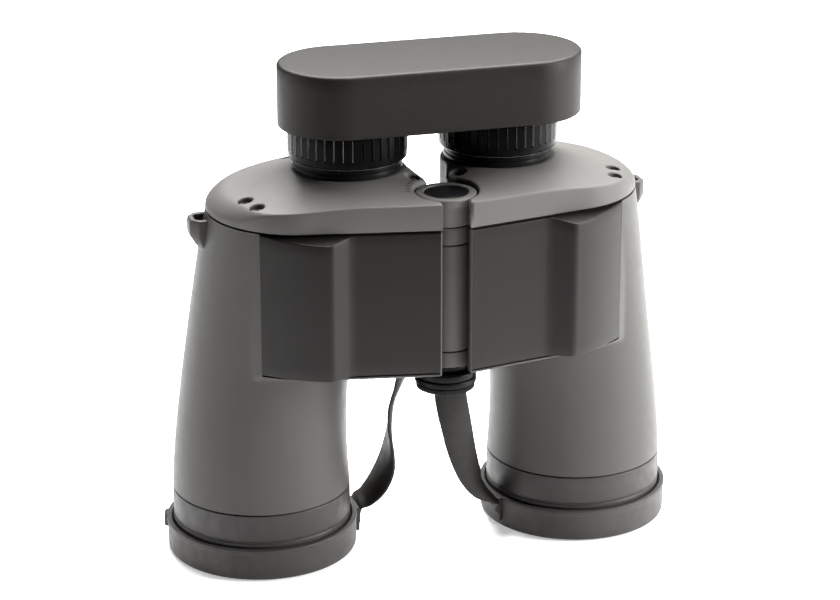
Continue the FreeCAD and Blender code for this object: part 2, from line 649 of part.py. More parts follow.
# ---- the assembly -------------------------------------------------------------------
def side_pieces():
    """Pieces that both barrels have, drawn for the right one."""
    middle = middle_axis()
    objective = (BARREL_X, BARREL_Y)
    eyepiece = (EYE_X, EYE_Y)
    return {
        "strap_lug": strap_lug(),
        "top_cover": top_cover(),
        "cover_gasket": cover_gasket(),
        "cover_screws": cover_screws(),
        "grip_panel": grip_panel(),
        "objective_ring": objective_ring(),
        "objective_cell": objective_cell(),
        "crown_lens": lens(*objective, LENS_R, 20.4, 24.4, 2.6, 2.2),
        "flint_lens": lens(*objective, LENS_R, 24.4, 33.6, -2.2, 0.0),
        "lens_retainer": tube(*objective, LENS_R, APERTURE_R, 17.0, 20.1),
        "prism_plate": prism_plate(),
        "first_prism": prism(objective, middle, PLATE_TOP, 1),
        "second_prism": prism(middle, eyepiece, PLATE_BASE, -1),
        "prism_clips": Part.makeCompound([
            prism_clip(objective, middle, PLATE_TOP, 1),
            prism_clip(middle, eyepiece, PLATE_BASE, -1)]),
        "ocular_housing": ocular_housing(),
        "focus_ring": focus_ring(),
        "ocular_tube": ocular_tube(),
        "field_lens": lens(*eyepiece, TUBE_BORE, 143.0, 145.4, 0.0, 1.8),
        "eye_lens": lens(*eyepiece, TUBE_BORE, 161.0, 164.2, 1.4, 1.4),
        "eyecup": eyecup(),
        "objective_cap": objective_cap(),
    }


def all_pieces():
    pieces = {}
    for name, shape in side_pieces().items():
        pieces["right_" + name] = shape
        pieces["left_" + name] = mirrored(shape)
    pieces["right_body_shell"] = body_shell([RIGHT_KNUCKLE]).cut(
        cylinder(0, HINGE_Y, SHAFT_R, HOUSING_BASE - 10, SEAM + 10))
    pieces["left_body_shell"] = mirrored(body_shell([LEFT_LOW_KNUCKLE, LEFT_HIGH_KNUCKLE]).cut(
        cylinder(0, HINGE_Y, BUSH_R, HOUSING_BASE - 10, SEAM + 10)))
    pieces["left_strap_eye"] = strap_eye(LEFT_EYE)
    pieces["right_strap_eye"] = strap_eye(RIGHT_EYE)
    pieces["left_cap_strap"] = ribbon(LEFT_STRAP)
    pieces["right_cap_strap"] = ribbon(RIGHT_STRAP)
    pieces["rain_guard"] = rain_guard()
    pieces["hinge_shaft"] = hinge_shaft()
    pieces["hinge_head"] = hinge_head()
    pieces["hinge_disc"] = cylinder(0, HINGE_Y, DISC_R, INDEX_TOP - 1.2, INDEX_TOP - 0.3)
    pieces["hinge_bushes"] = hinge_bushes()
    pieces["hinge_washers"] = hinge_washers()
    pieces["hinge_nut"] = tube(0, HINGE_Y, NUT_R, SHAFT_R, *NUT)
    pieces["strap_retainer"] = strap_retainer()
    pieces["tripod_socket"] = tube(0, HINGE_Y, SOCKET_BODY_R, SOCKET_R, POST_BASE, SOCKET_TOP)
    return pieces


os.makedirs("parts", exist_ok=True)
for name, shape in sorted(all_pieces().items()):
    shape.exportStep("parts/" + name + ".step")
    solids = shape.Solids
    print(name, len(solids), "solid(s)", round(sum(s.Volume for s in solids)), "mm3",
          "valid" if shape.isValid() else "INVALID")
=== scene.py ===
import math

import bmesh
import bpy
import numpy as np
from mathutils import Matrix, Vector, geometry


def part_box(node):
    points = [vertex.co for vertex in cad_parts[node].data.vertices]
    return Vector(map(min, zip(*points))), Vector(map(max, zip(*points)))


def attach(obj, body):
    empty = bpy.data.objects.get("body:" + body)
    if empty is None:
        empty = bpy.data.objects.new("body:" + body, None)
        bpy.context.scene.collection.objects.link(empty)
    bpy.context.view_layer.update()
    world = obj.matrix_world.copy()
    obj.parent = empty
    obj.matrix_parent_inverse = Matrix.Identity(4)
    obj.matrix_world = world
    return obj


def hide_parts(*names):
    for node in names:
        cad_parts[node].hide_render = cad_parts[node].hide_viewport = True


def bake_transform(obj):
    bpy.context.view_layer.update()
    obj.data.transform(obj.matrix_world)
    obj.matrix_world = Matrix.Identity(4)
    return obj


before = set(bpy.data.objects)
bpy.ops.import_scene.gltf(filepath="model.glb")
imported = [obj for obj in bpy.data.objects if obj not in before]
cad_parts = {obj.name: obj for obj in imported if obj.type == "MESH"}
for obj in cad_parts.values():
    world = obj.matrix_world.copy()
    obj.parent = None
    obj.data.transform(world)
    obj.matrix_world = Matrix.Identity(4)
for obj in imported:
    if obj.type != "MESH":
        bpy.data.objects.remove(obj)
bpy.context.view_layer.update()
scene = bpy.context.scene

# Porro prism binoculars on their objective caps.  Lengths in this script are millimetres,
# turned into metres as each mesh is made.  Side pieces are drawn for the right barrel.
MM = 0.001
SIDES = (("right", 1), ("left", -1))


# ---- positions read from the frame ----
def corners(node):
    low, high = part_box(node)
    return [c / MM for c in low], [c / MM for c in high]


def axis_of(node):
    low, high = corners(node)
    return ((low[0] + high[0]) / 2, (low[1] + high[1]) / 2)


def heights(node):
    low, high = corners(node)
    return low[2], high[2]


BARREL = axis_of("right_objective_ring")
EYE = axis_of("right_focus_ring")
HINGE = (0.0, axis_of("hinge_shaft")[1])
RING_LOW, BARREL_BASE = heights("right_objective_ring")
SEAM, COVER_BASE = heights("right_cover_gasket")
COVER_TOP = heights("right_top_cover")[1]
PANEL_BASE, PANEL_TOP = heights("right_grip_panel")
GUARD_LOW, GUARD_HIGH = heights("rain_guard")
FOCUS_LOW, FOCUS_HIGH = heights("right_focus_ring")
CUP_LOW, CUP_HIGH = heights("right_eyecup")
CAP_HIGH = heights("right_objective_cap")[1]
HEAD_LOW, HEAD_HIGH = heights("hinge_head")

# Sizes that no box of the frame gives, in millimetres and degrees.
HOUSING_BASE = 78.2
HOUSING = (45.6, 1.8)
HOUSING_R, BOSS_R = 35.2, 21.2
FRONT, EAR, INNER = (5.2, -41.6), (4.0, -14.0), (7.3, -4.0)
RING_R, CAP_R = 33.2, 35.5
KNUCKLE_R, INDEX_R, DISC_R = 10.4, 11.1, 8.1
RETAINER_R, NUT_R, STRAP_EYE_R, STRAP_EYE_HOLE_R = 10.8, 8.3, 11.3, 5.3
PANEL_THICK, PANEL_INNER_X = 2.4, 5.9
PANEL_OUTER_ANGLE = -50.5
RIDGE_FOOT_X, RIDGE_CREST, RIDGE_SIDE = 37.1, (45.6, -39.6), (57.6, -33.4)
SCREWS = [(69.5, -10.8), (67.2, -19.2), (8.8, -14.2), (45.0, 27.0)]
SCREW_WELL_R, SCREW_SEAT_DEPTH = 2.7, 4.2
GUARD_X, GUARD_HALF, GUARD_R = 2.75, 33.5, 23.1
BODY_HOLLOW_R, COVER_HOLLOW_R = 11.4, 11.8     # clearance round the hinge
SEAM_GAP = 0.3
SHAFT_HOLE_R = 5.0
KNUCKLES = {"left": ((80.2, 86.0), (126.9, 133.3)), "right": ((86.4, 126.5),)}
FOCUS_R = corners("right_focus_ring")[1][0] - EYE[0]
FOCUS_BORE_R = 14.6
FOCUS_RIBS = 40
GROOVES_LOW = FOCUS_LOW + 2.9
SHARP_ANGLE = 35                               # sharper turns between faces stay as edges


# ---- mesh helpers ----
def shaded(obj, angle=SHARP_ANGLE):
    """Shades a mesh smooth, apart from its edges sharper than the angle."""
    mesh = obj.data
    mesh.polygons.foreach_set("use_smooth", [True] * len(mesh.polygons))
    mesh.set_sharp_from_angle(angle=math.radians(angle))
    mesh.update()
    return obj


def made(name, verts, faces, angle=SHARP_ANGLE):
    """A new object in the scene from points in millimetres."""
    mesh = bpy.data.meshes.new(name)
    mesh.from_pydata([(x * MM, y * MM, z * MM) for x, y, z in verts], [], faces)
    work = bmesh.new()
    work.from_mesh(mesh)
    bmesh.ops.remove_doubles(work, verts=work.verts, dist=1e-7)
    bmesh.ops.recalc_face_normals(work, faces=work.faces)
    work.to_mesh(mesh)
    work.free()
    obj = bpy.data.objects.new(name, mesh)
    scene.collection.objects.link(obj)
    return shaded(obj, angle)


def applied(obj):
    """Bakes the object's modifiers into its mesh."""
    bpy.context.view_layer.update()
    graph = bpy.context.evaluated_depsgraph_get()
    mesh = bpy.data.meshes.new_from_object(obj.evaluated_get(graph))
    obj.modifiers.clear()
    obj.data = mesh
    return obj


def merged(name, parts):
    """One object from several, which are removed."""
    work = bmesh.new()
    for part in parts:
        work.from_mesh(part.data)
    mesh = bpy.data.meshes.new(name)
    work.to_mesh(mesh)
    work.free()
    for part in parts:
        bpy.data.objects.remove(part)
    obj = bpy.data.objects.new(name, mesh)
    scene.collection.objects.link(obj)
    return shaded(obj)


def mirrored(obj, name):
    """A copy on the other side of the instrument."""
    mesh = obj.data.copy()
    work = bmesh.new()
    work.from_mesh(mesh)
    for vert in work.verts:
        vert.co.x = -vert.co.x
    bmesh.ops.reverse_faces(work, faces=work.faces)
    work.to_mesh(mesh)
    work.free()
    twin = bpy.data.objects.new(name, mesh)
    scene.collection.objects.link(twin)
    return shaded(twin)


def cut(obj, cutter):
    """Takes the cutter's shape out of an object and removes the cutter."""
    tool = obj.modifiers.new("cut", "BOOLEAN")
    tool.operation = "DIFFERENCE"
    tool.solver = "EXACT"
    tool.object = cutter
    applied(obj)
    bpy.data.objects.remove(cutter)
    return obj


def polar(centre, radius, degrees):
    angle = math.radians(degrees)
    return (centre[0] + radius * math.cos(angle), centre[1] + radius * math.sin(angle))


def beside(centre, degrees, out, across):
    """A point that far out from a centre in a direction, and that far to its left."""
    a = math.radians(degrees)
    return (centre[0] + out * math.cos(a) - across * math.sin(a),
            centre[1] + out * math.sin(a) + across * math.cos(a))


def softened(points, radius, steps=4):
    """Rounds the corners of a closed profile; a point may carry its own radius."""
    out = []
    count = len(points)
    for index, point in enumerate(points):
        here = Vector(point[:2])
        before = Vector(points[index - 1][:2])
        after = Vector(points[(index + 1) % count][:2])
        size = point[2] if len(point) > 2 else radius
        if size <= 0 or here.x < 1e-6:
            out.append(tuple(here))
            continue
        back, ahead = before - here, after - here
        start = here + back.normalized() * min(size, back.length * 0.48)
        end = here + ahead.normalized() * min(size, ahead.length * 0.48)
        for step in range(steps + 1):
            t = step / steps
            spot = start * (1 - t) ** 2 + here * (2 * t * (1 - t)) + end * t ** 2
            out.append(tuple(spot))
    return out


def lathe(name, centre, profile, steps=160, press=None):
    """Turns a closed (radius, height) profile; press(angle, r, z) may move a radius."""
    count = len(profile)
    verts, faces = [], []
    for step in range(steps):
        turn = 2 * math.pi * step / steps
        for radius, height in profile:
            r = press(turn, radius, height) if press else radius
            verts.append((centre[0] + r * math.cos(turn), centre[1] + r * math.sin(turn), height))
    for step in range(steps):
        a, b = step * count, ((step + 1) % steps) * count
        for index in range(count):
            nxt = (index + 1) % count
            faces.append((a + index, b + index, b + nxt, a + nxt))
    return made(name, verts, faces)


def stacked(name, rows, angle=SHARP_ANGLE):
    """A closed skin through rows of matching loops."""
    count = len(rows[0])
    verts = [point for row in rows for point in row]
    faces = []
    for level in range(len(rows) - 1):
        a, b = level * count, (level + 1) * count
        for index in range(count):
            nxt = (index + 1) % count
            faces.append((a + index, a + nxt, b + nxt, b + index))
    faces.append(tuple(range(count)))
    faces.append(tuple((len(rows) - 1) * count + index for index in range(count)))
    return made(name, verts, faces, angle)


def block(name, plan, low, high):
    return stacked(name, [[(x, y, z) for x, y in plan] for z in (low, high)])


def edged(obj, width):
    """Rounds the sharp edges of a small piece."""
    edge = obj.modifiers.new("edge", "BEVEL")
    edge.width = width * MM
    edge.segments = 3
    edge.limit_method = "ANGLE"
    return shaded(applied(obj))


def segment(start, end, spacing=1.5):
    """Points from start up to but without end."""
    count = max(1, int(math.dist(start, end) / spacing))
    return [(start[0] + (end[0] - start[0]) * i / count,
             start[1] + (end[1] - start[1]) * i / count) for i in range(count)]


def arc(centre, radius, start, end, spacing=1.2):
    """Points along an arc from start up to but without end, both in degrees."""
    count = max(2, int(abs(math.radians(end - start)) * radius / spacing))
    return [polar(centre, radius, start + (end - start) * i / count) for i in range(count)]


def ease(value, low, high):
    """Climbs smoothly from 0 at low to 1 at high."""
    t = min(1.0, max(0.0, (value - low) / (high - low)))
    return t * t * (3 - 2 * t)


# ---- plan of the prism housing ----
def tangent_front():
    dx, dy = FRONT[0] - HOUSING[0], FRONT[1] - HOUSING[1]
    reach = math.hypot(dx, dy)
    return math.degrees(math.atan2(dy, dx) + math.acos(HOUSING_R / reach))


def tangent_back():
    dx, dy = EYE[0] - HOUSING[0], EYE[1] - HOUSING[1]
    reach = math.hypot(dx, dy)
    return math.degrees(math.atan2(dy, dx) % (2 * math.pi)
                        - math.acos((HOUSING_R - BOSS_R) / reach))


FRONT_TURN, BACK_TURN = tangent_front(), tangent_back()


def front_y(x, inset=0.0):
    """Y of the housing's front wall at x, set back square to itself."""
    angle = math.radians(FRONT_TURN)
    along = (HOUSING_R - inset) - (x - HOUSING[0]) * math.cos(angle)
    return HOUSING[1] + along / math.sin(angle)


def housing_plan(hollow):
    """Outline of the housing, anticlockwise, with the name of each point's stretch."""
    high = math.sqrt(hollow ** 2 - EAR[0] ** 2)
    low = math.sqrt(hollow ** 2 - FRONT[0] ** 2)
    hollow_start = math.degrees(math.atan2(high, EAR[0]))
    hollow_end = -math.degrees(math.atan2(low, FRONT[0]))
    stretches = [
        ("front", segment(FRONT, polar(HOUSING, HOUSING_R, FRONT_TURN))),
        ("round", arc(HOUSING, HOUSING_R, FRONT_TURN, BACK_TURN)),
        ("back", segment(polar(HOUSING, HOUSING_R, BACK_TURN), polar(EYE, BOSS_R, BACK_TURN))),
        ("boss", arc(EYE, BOSS_R, BACK_TURN, 180.0)),
        ("inner", segment((INNER[0], EYE[1]), INNER)),
        ("ear", segment(INNER, EAR)),
        ("ear", segment(EAR, (EAR[0], HINGE[1] + high))),
        ("hollow", arc(HINGE, hollow, hollow_start, hollow_end)),
        ("hollow", segment((FRONT[0], HINGE[1] - low), FRONT)),
    ]
    points, marks = [], []
    for mark, stretch in stretches:
        points += stretch
        marks += [mark] * len(stretch)
    return points, marks


# ---- body ----
BARREL_SECTIONS = [                   # height, axis x, axis y, radius
    (BARREL_BASE, BARREL[0], BARREL[1], RING_R),
    (50.0, 61.3, 6.3, 31.7),
    (78.0, 58.4, 5.8, 31.0),
    (105.0, 53.4, 4.2, 32.2),
    (SEAM, HOUSING[0], HOUSING[1], HOUSING_R),
]


def barrel_section(height):
    """Axis and radius of the barrel at a height, by a smooth curve through the sections."""
    levels = [row[0] for row in BARREL_SECTIONS]
    if height >= levels[-1]:
        return BARREL_SECTIONS[-1][1:]
    weights = []
    for index, level in enumerate(levels):
        weight = 1.0
        for other, base in enumerate(levels):
            if other != index:
                weight *= (height - base) / (level - base)
        weights.append(weight)
    return [sum(w * row[k] for w, row in zip(weights, BARREL_SECTIONS)) for k in (1, 2, 3)]


def barrel_loft(name, inset, low, high, steps=180):
    rows = []
    count = 60
    for level in range(count + 1):
        height = low + (high - low) * level / count
        x, y, radius = barrel_section(height)
        rows.append([(*polar((x, y), radius - inset, 360.0 * s / steps), height)
                     for s in range(steps)])
    return stacked(name, rows)


def trimmed(obj, height, keep_below):
    """Slices the mesh flat at a height and closes it."""
    work = bmesh.new()
    work.from_mesh(obj.data)
    geom = work.verts[:] + work.edges[:] + work.faces[:]
    normal = (0, 0, 1 if keep_below else -1)
    result = bmesh.ops.bisect_plane(work, geom=geom, plane_co=(0, 0, height * MM),
                                    plane_no=normal, clear_outer=True)
    edges = [e for e in result["geom_cut"] if isinstance(e, bmesh.types.BMEdge)]
    bmesh.ops.contextual_create(work, geom=edges)
    bmesh.ops.recalc_face_normals(work, faces=work.faces)
    work.to_mesh(obj.data)
    work.free()
    return obj


def fused(obj, voxel, rounds):
    """One skin over overlapping closed shells, with eased corners."""
    wrap = obj.modifiers.new("wrap", "REMESH")
    wrap.mode = "VOXEL"
    wrap.voxel_size = voxel * MM
    ease_off = obj.modifiers.new("ease", "SMOOTH")
    ease_off.factor = 0.5
    ease_off.iterations = rounds
    return applied(obj)


def panel_path(offset):
    """Plan line of the grip panel's face, from the hinge outwards, moved out by offset."""
    radius = HOUSING_R + offset
    line = segment((PANEL_INNER_X, front_y(PANEL_INNER_X, -offset)),
                   polar(HOUSING, radius, FRONT_TURN))
    return line + arc(HOUSING, radius, FRONT_TURN, PANEL_OUTER_ANGLE) + [
        polar(HOUSING, radius, PANEL_OUTER_ANGLE)]


def body_core():
    """The barrel and its housing, drawn once for the right side."""
    plan, _ = housing_plan(BODY_HOLLOW_R)
    above, wall = 4.0, 2.6
    shells = [barrel_loft("loft", 0.0, BARREL_BASE - above, SEAM + above),
              block("slab", plan, HOUSING_BASE, SEAM + above)]
    body = fused(merged("core", shells), 0.75, 6)
    trimmed(body, SEAM - SEAM_GAP, True)
    trimmed(body, BARREL_BASE + SEAM_GAP, False)
    pocket = panel_path(3.0) + panel_path(-PANEL_THICK)[::-1]
    cut(body, block("pocket", pocket, PANEL_BASE - SEAM_GAP, SEAM + above))
    cut(body, barrel_loft("bore", wall, BARREL_BASE - 1, SEAM - 8, 96))
    return shaded(body)


def knuckle(low, high):
    """One ring of the hinge and the web that ties it to the housing."""
    ring = softened([(SHAFT_HOLE_R, low), (KNUCKLE_R, low), (KNUCKLE_R, high),
                     (SHAFT_HOLE_R, high)], 0.35)
    back, front = HINGE[1] + 7.0, HINGE[1] - 3.0
    inner, outer = 6.0, 14.2
    web = [(inner, front), (outer, front), (outer, back), (inner, back)]
    return [lathe("knuckle", HINGE, ring), block("web", web, low + 0.1, high - 0.1)]


# ---- top cover ----
def cover_surface(x, y):
    """Height of the cover before its edges are rounded."""
    beyond = max(0.0, math.dist((x, y), EYE) - BOSS_R)
    saddle = 0.6 * math.sin(math.pi * min(1.0, beyond / 24.0))
    front_lift = (0.5 + 3.1 * math.exp((FRONT[0] - x) / 14.0)) * ease(-y, 8.0, 44.0)
    return COVER_TOP - 0.26 * beyond - saddle + front_lift


def cover_rounding(plan, marks):
    """Radius of the cover's rounded edge at each point of its outline."""
    fixed = {"front": 0.7, "back": 3.5, "boss": 1.6, "inner": 1.2, "ear": 1.0, "hollow": 0.6}
    size = len(plan)
    rounding = []
    for (x, y), mark in zip(plan, marks):
        turn = math.degrees(math.atan2(y - HOUSING[1], x - HOUSING[0]))
        if mark == "round":
            rounding.append(0.7 + 6.3 * ease(turn, -62.0, -18.0) - 3.0 * ease(turn, 110.0, 146.0))
        else:
            rounding.append(fixed[mark])
    for _ in range(6):
        rounding = [(rounding[i - 1] + rounding[i] + rounding[(i + 1) % size]) / 3
                    for i in range(size)]
    return np.array(rounding)


def edge_gap(point, outline, rounding):
    """Distance from a point to the outline, and the rounding there."""
    p = np.array(point)
    along = np.roll(outline, -1, axis=0) - outline
    t = ((p - outline) * along).sum(1) / (along ** 2).sum(1)
    t = np.clip(t, 0, 1)[:, None]
    gaps = np.linalg.norm(outline + along * t - p, axis=1)
    near = int(gaps.argmin())
    part = float(t[near, 0])
    return gaps[near], rounding[near] * (1 - part) + rounding[(near + 1) % len(outline)] * part


def point_inside(point, plan):
    """Whether a point lies inside a closed outline."""
    x, y = point
    inside = False
    for (ax, ay), (bx, by) in zip(plan, plan[1:] + plan[:1]):
        if (ay > y) != (by > y) and x < (bx - ax) * (y - ay) / (by - ay) + ax:
            inside = not inside
    return inside


def cover_points(plan, inward, gap_at, holes):
    """Inner points of the cover: rows along its outline, rings round its holes, then a grid."""
    def clear(point, apart):
        return all(math.dist(point, c) >= r + apart for c, r, _ in holes)

    loose = []
    for depth in (0.15, 0.35, 0.6, 0.95, 1.4, 2.0, 2.8, 3.8, 5.0, 6.4, 8.0):
        for point in np.array(plan) + inward * depth:
            if abs(gap_at(point) - depth) < 0.02 and clear(point, 0.5):
                loose.append(tuple(point))
    for radius in (20.4, 20.9, 21.2, 21.5, 22.0, 22.8, 24.0):
        for step in range(120):
            point = polar(EYE, radius, 3.0 * step)
            if clear(point, 0.5) and gap_at(point) > 0.8 and point_inside(point, plan):
                loose.append(point)
    for spot in SCREWS:
        for radius in (3.35, 3.9, 4.7):
            for step in range(40):
                point = polar(spot, radius, 9.0 * step)
                if point_inside(point, plan) and gap_at(point) > 0.6 and clear(point, 0.3):
                    loose.append(point)
    rings = np.array(loose)
    spacing, low_y = 1.5, -44
    for row in range(80):
        for column in range(80):
            point = (column * spacing + (row % 2) * spacing / 2, low_y + row * spacing * 0.87)
            if not point_inside(point, plan) or not clear(point, 0.9) or gap_at(point) < 1.0:
                continue
            if np.linalg.norm(rings - np.array(point), axis=1).min() > 0.8:
                loose.append(point)
    return loose


def top_cover():
    """A triangulated top with a rounded edge, and the walls below its outline and its wells."""
    plan, marks = housing_plan(COVER_HOLLOW_R)
    rounding = cover_rounding(plan, marks)
    outline = np.array(plan)
    tangent = np.roll(outline, -1, axis=0) - np.roll(outline, 1, axis=0)
    tangent /= np.linalg.norm(tangent, axis=1)[:, None]
    inward = np.stack([-tangent[:, 1], tangent[:, 0]], 1)

    eye_hole, well = 17.6, SCREW_WELL_R + 0.3
    holes = [(EYE, eye_hole, 120)] + [(spot, well, 40) for spot in SCREWS]
    verts = [tuple(p) for p in outline]
    loops = [list(range(len(verts)))]
    for centre, radius, count in holes:
        loops.append(list(range(len(verts), len(verts) + count)))
        verts += [polar(centre, radius, 360.0 * i / count) for i in range(count)]
    loose = cover_points(plan, inward, lambda p: edge_gap(p, outline, rounding)[0], holes)

    flat = [Vector(p) for p in verts + loose]
    found, _, faces, _, _, _ = geometry.delaunay_2d_cdt(flat, [], loops, 1, 1e-5)
    found = [(p.x, p.y) for p in found]
    wanted = []
    for face in faces:
        x = sum(found[i][0] for i in face) / len(face)
        y = sum(found[i][1] for i in face) / len(face)
        if all(math.dist((x, y), c) > r * 0.99 for c, r, _ in holes):
            wanted.append(tuple(face))

    def lifted(point):
        """Height of the cover with its edge rounded."""
        z = cover_surface(*point)
        reach, soft = edge_gap(point, outline, rounding)
        if reach < soft:
            drop = min(soft, z - COVER_BASE - 1.0)
            z -= drop * (1 - math.sqrt(max(0.0, 1 - (1 - reach / soft) ** 2)))
        return z

    points = [(x, y, lifted((x, y))) for x, y in found]
    table = np.array(found)

    def skirt(ring, rows, close):
        """Carries a boundary loop of the surface on through rows of points."""
        last = [int(np.linalg.norm(table - np.array(p), axis=1).argmin()) for p in ring]
        for row in rows:
            fresh = list(range(len(points), len(points) + len(row)))
            points.extend(row)
            for i in range(len(row)):
                j = (i + 1) % len(row)
                wanted.append((last[i], last[j], fresh[j], fresh[i]))
            last = fresh
        if close:
            wanted.append(tuple(last))

    bevel, wall_width = 0.25, 2.4
    lip = COVER_BASE + 0.05
    skirt(plan, [[(x, y, lip + bevel) for x, y in plan],
                 [(x, y, lip) for x, y in outline + inward * bevel],
                 [(x, y, lip) for x, y in outline + inward * wall_width]], False)
    for centre, radius, count in holes[1:]:
        floor = cover_surface(*centre) - SCREW_SEAT_DEPTH
        rim = [polar(centre, radius, 360.0 * i / count) for i in range(count)]
        wall = [polar(centre, SCREW_WELL_R, 360.0 * i / count) for i in range(count)]
        skirt(rim, [[(x, y, cover_surface(x, y) - 0.3) for x, y in wall],
                    [(x, y, floor) for x, y in wall]], True)
    return made("right_cover", points, wanted, 40)


def screw_heads():
    """Crowned heads with a cross cut into each."""
    radius, rim, crown, cross_floor = 2.45, 2.7, 3.2, 2.2
    arm, half_slot = 1.5, 0.32
    heads = []
    for spot in SCREWS:
        seat = cover_surface(*spot) - SCREW_SEAT_DEPTH
        profile = softened([(0, seat), (radius, seat), (radius, seat + rim),
                            (0, seat + crown)], 0.4)
        head = lathe("head", spot, profile, 48)
        for wide, deep in ((arm, half_slot), (half_slot, arm)):
            x, y = spot
            bar = [(x - wide, y - deep), (x + wide, y - deep),
                   (x + wide, y + deep), (x - wide, y + deep)]
            cut(head, block("bit", bar, seat + cross_floor, seat + crown + 0.8))
        heads.append(shaded(head))
    return merged("right_screws", heads)


# ---- grip panel ----
def panel_face():
    """Plan of the panel's face with its finger ridge, from the hinge outwards."""
    def bend(a, b, c, steps):
        """Quadratic curve from a to c that leans on b."""
        return [tuple(Vector(a) * (1 - t) ** 2 + Vector(b) * (2 * t * (1 - t)) + Vector(c) * t ** 2)
                for t in (i / steps for i in range(steps + 1))]

    foot = (RIDGE_FOOT_X, front_y(RIDGE_FOOT_X))
    crest = RIDGE_CREST
    end = polar(HOUSING, HOUSING_R, PANEL_OUTER_ANGLE)
    before_foot = (foot[0] - 2.4, front_y(foot[0] - 2.4))
    up = Vector((crest[0] - foot[0], crest[1] - foot[1])).normalized()
    down = Vector((RIDGE_SIDE[0] - crest[0], RIDGE_SIDE[1] - crest[1])).normalized()
    after_foot = (foot[0] + up.x * 2.2, foot[1] + up.y * 2.2)
    before_crest = (crest[0] - up.x * 1.6, crest[1] - up.y * 1.6)
    after_crest = (crest[0] + down.x * 2.2, crest[1] + down.y * 2.2)
    lean = (2 * RIDGE_SIDE[0] - (after_crest[0] + end[0]) / 2,
            2 * RIDGE_SIDE[1] - (after_crest[1] + end[1]) / 2)
    start = (PANEL_INNER_X, front_y(PANEL_INNER_X))
    return (segment(start, before_foot) + bend(before_foot, foot, after_foot, 6)
            + segment(after_foot, before_crest, 0.8)[1:] + bend(before_crest, crest, after_crest, 6)
            + bend(after_crest, lean, end, 14)[1:])


def grip_panel():
    face = panel_face()
    back = panel_path(-PANEL_THICK + 0.1)[::-1]
    low_gap, side_gap = 0.15, 0.04
    loop = face + back
    count = len(loop)
    normals = []
    for i in range(count):
        a, b = Vector(loop[i - 1]), Vector(loop[(i + 1) % count])
        run = (b - a).normalized()
        normals.append(Vector((run.y, -run.x)))

    foot = Vector((RIDGE_FOOT_X, front_y(RIDGE_FOOT_X)))
    chord = (Vector(polar(HOUSING, HOUSING_R, PANEL_OUTER_ANGLE)) - foot).normalized()

    def top_at(x, y):
        """The ridge's top slopes down forwards of the line between its feet."""
        off = Vector((x, y)) - foot
        ahead = off.x * chord.y - off.y * chord.x
        return PANEL_TOP - 0.32 * max(0.0, ahead) * (x > foot.x)

    rows = []
    rise = PANEL_TOP - PANEL_BASE
    levels = [(0.0, 0.55), (0.1, 0.25), (0.3, 0.07), (0.6, 0.0)]
    levels += [(rise * step / 12, 0.0) for step in range(1, 12)]
    levels += [(rise - 0.6, 0.0), (rise - 0.3, 0.07), (rise - 0.1, 0.25), (rise, 0.55)]
    for level, shrink in levels:
        inset = shrink + side_gap
        row = []
        for (x, y), normal in zip(loop, normals):
            z = PANEL_BASE + low_gap + level
            if level > rise / 2:
                z = top_at(x, y) - low_gap - (rise - level)
            row.append((x - normal.x * inset, y - normal.y * inset, z))
        rows.append(row)
    return stacked("right_panel", rows, 30)


# ---- turned pieces ----
# Profiles are (radius, height) points, and a third number is that corner's own rounding.
def objective_ring():
    bore, seat, seat_low = 28.5, 30.4, 14.8
    groove, top = RING_R - 0.35, BARREL_BASE - 0.1
    profile = softened([
        (bore, RING_LOW), (RING_R, RING_LOW), (RING_R, 13.6, 0.2), (groove, 13.9, 0.1),
        (groove, 14.3, 0.1), (RING_R, 14.6, 0.2), (RING_R, top), (seat, top),
        (seat, seat_low), (bore, seat_low)], 0.5)
    return lathe("right_ring", BARREL, profile, 192)


def objective_cap():
    bore, rim, hollow, floor = 33.9, CAP_R + 0.25, 0.35, 2.0
    profile = softened([
        (0, hollow), (27.0, hollow, 0.3), (27.8, 0.0, 0.3), (CAP_R - 0.2, 0.0, 1.4),
        (CAP_R, 3.0, 1.0), (CAP_R, CAP_HIGH - 2.2, 0.3), (rim, CAP_HIGH - 1.9, 0.3),
        (rim, CAP_HIGH, 0.5), (bore, CAP_HIGH, 0.4), (bore, floor, 0.8), (0, floor)], 0.6, 5)
    cup = lathe("cup", BARREL, profile, 192)
    tab_turn, half, reach = 16.0, 3.4, 1.5

    def spot(out, across):
        return beside(BARREL, tab_turn, out, across)

    plan = [spot(CAP_R - 1.2, -half - 1.0), spot(CAP_R + 0.2, -half)]
    for step in range(9):
        lean = math.radians(-90 + 180 * step / 8)
        plan.append(spot(CAP_R + 0.2 + (reach - 0.2) * math.cos(lean) ** 0.6,
                         half * 0.95 * math.sin(lean)))
    plan += [spot(CAP_R + 0.2, half), spot(CAP_R - 1.2, half + 1.0)]
    tab = block("tab", plan, CAP_HIGH - 4.6, CAP_HIGH - 0.2)
    return merged("right_cap", [cup, edged(tab, 0.5)])


def rib_phase(turn):
    """Place between one groove of a focus ring, 0, and the next, 1, at an angle in radians."""
    return (turn * FOCUS_RIBS / (2 * math.pi)) % 1.0


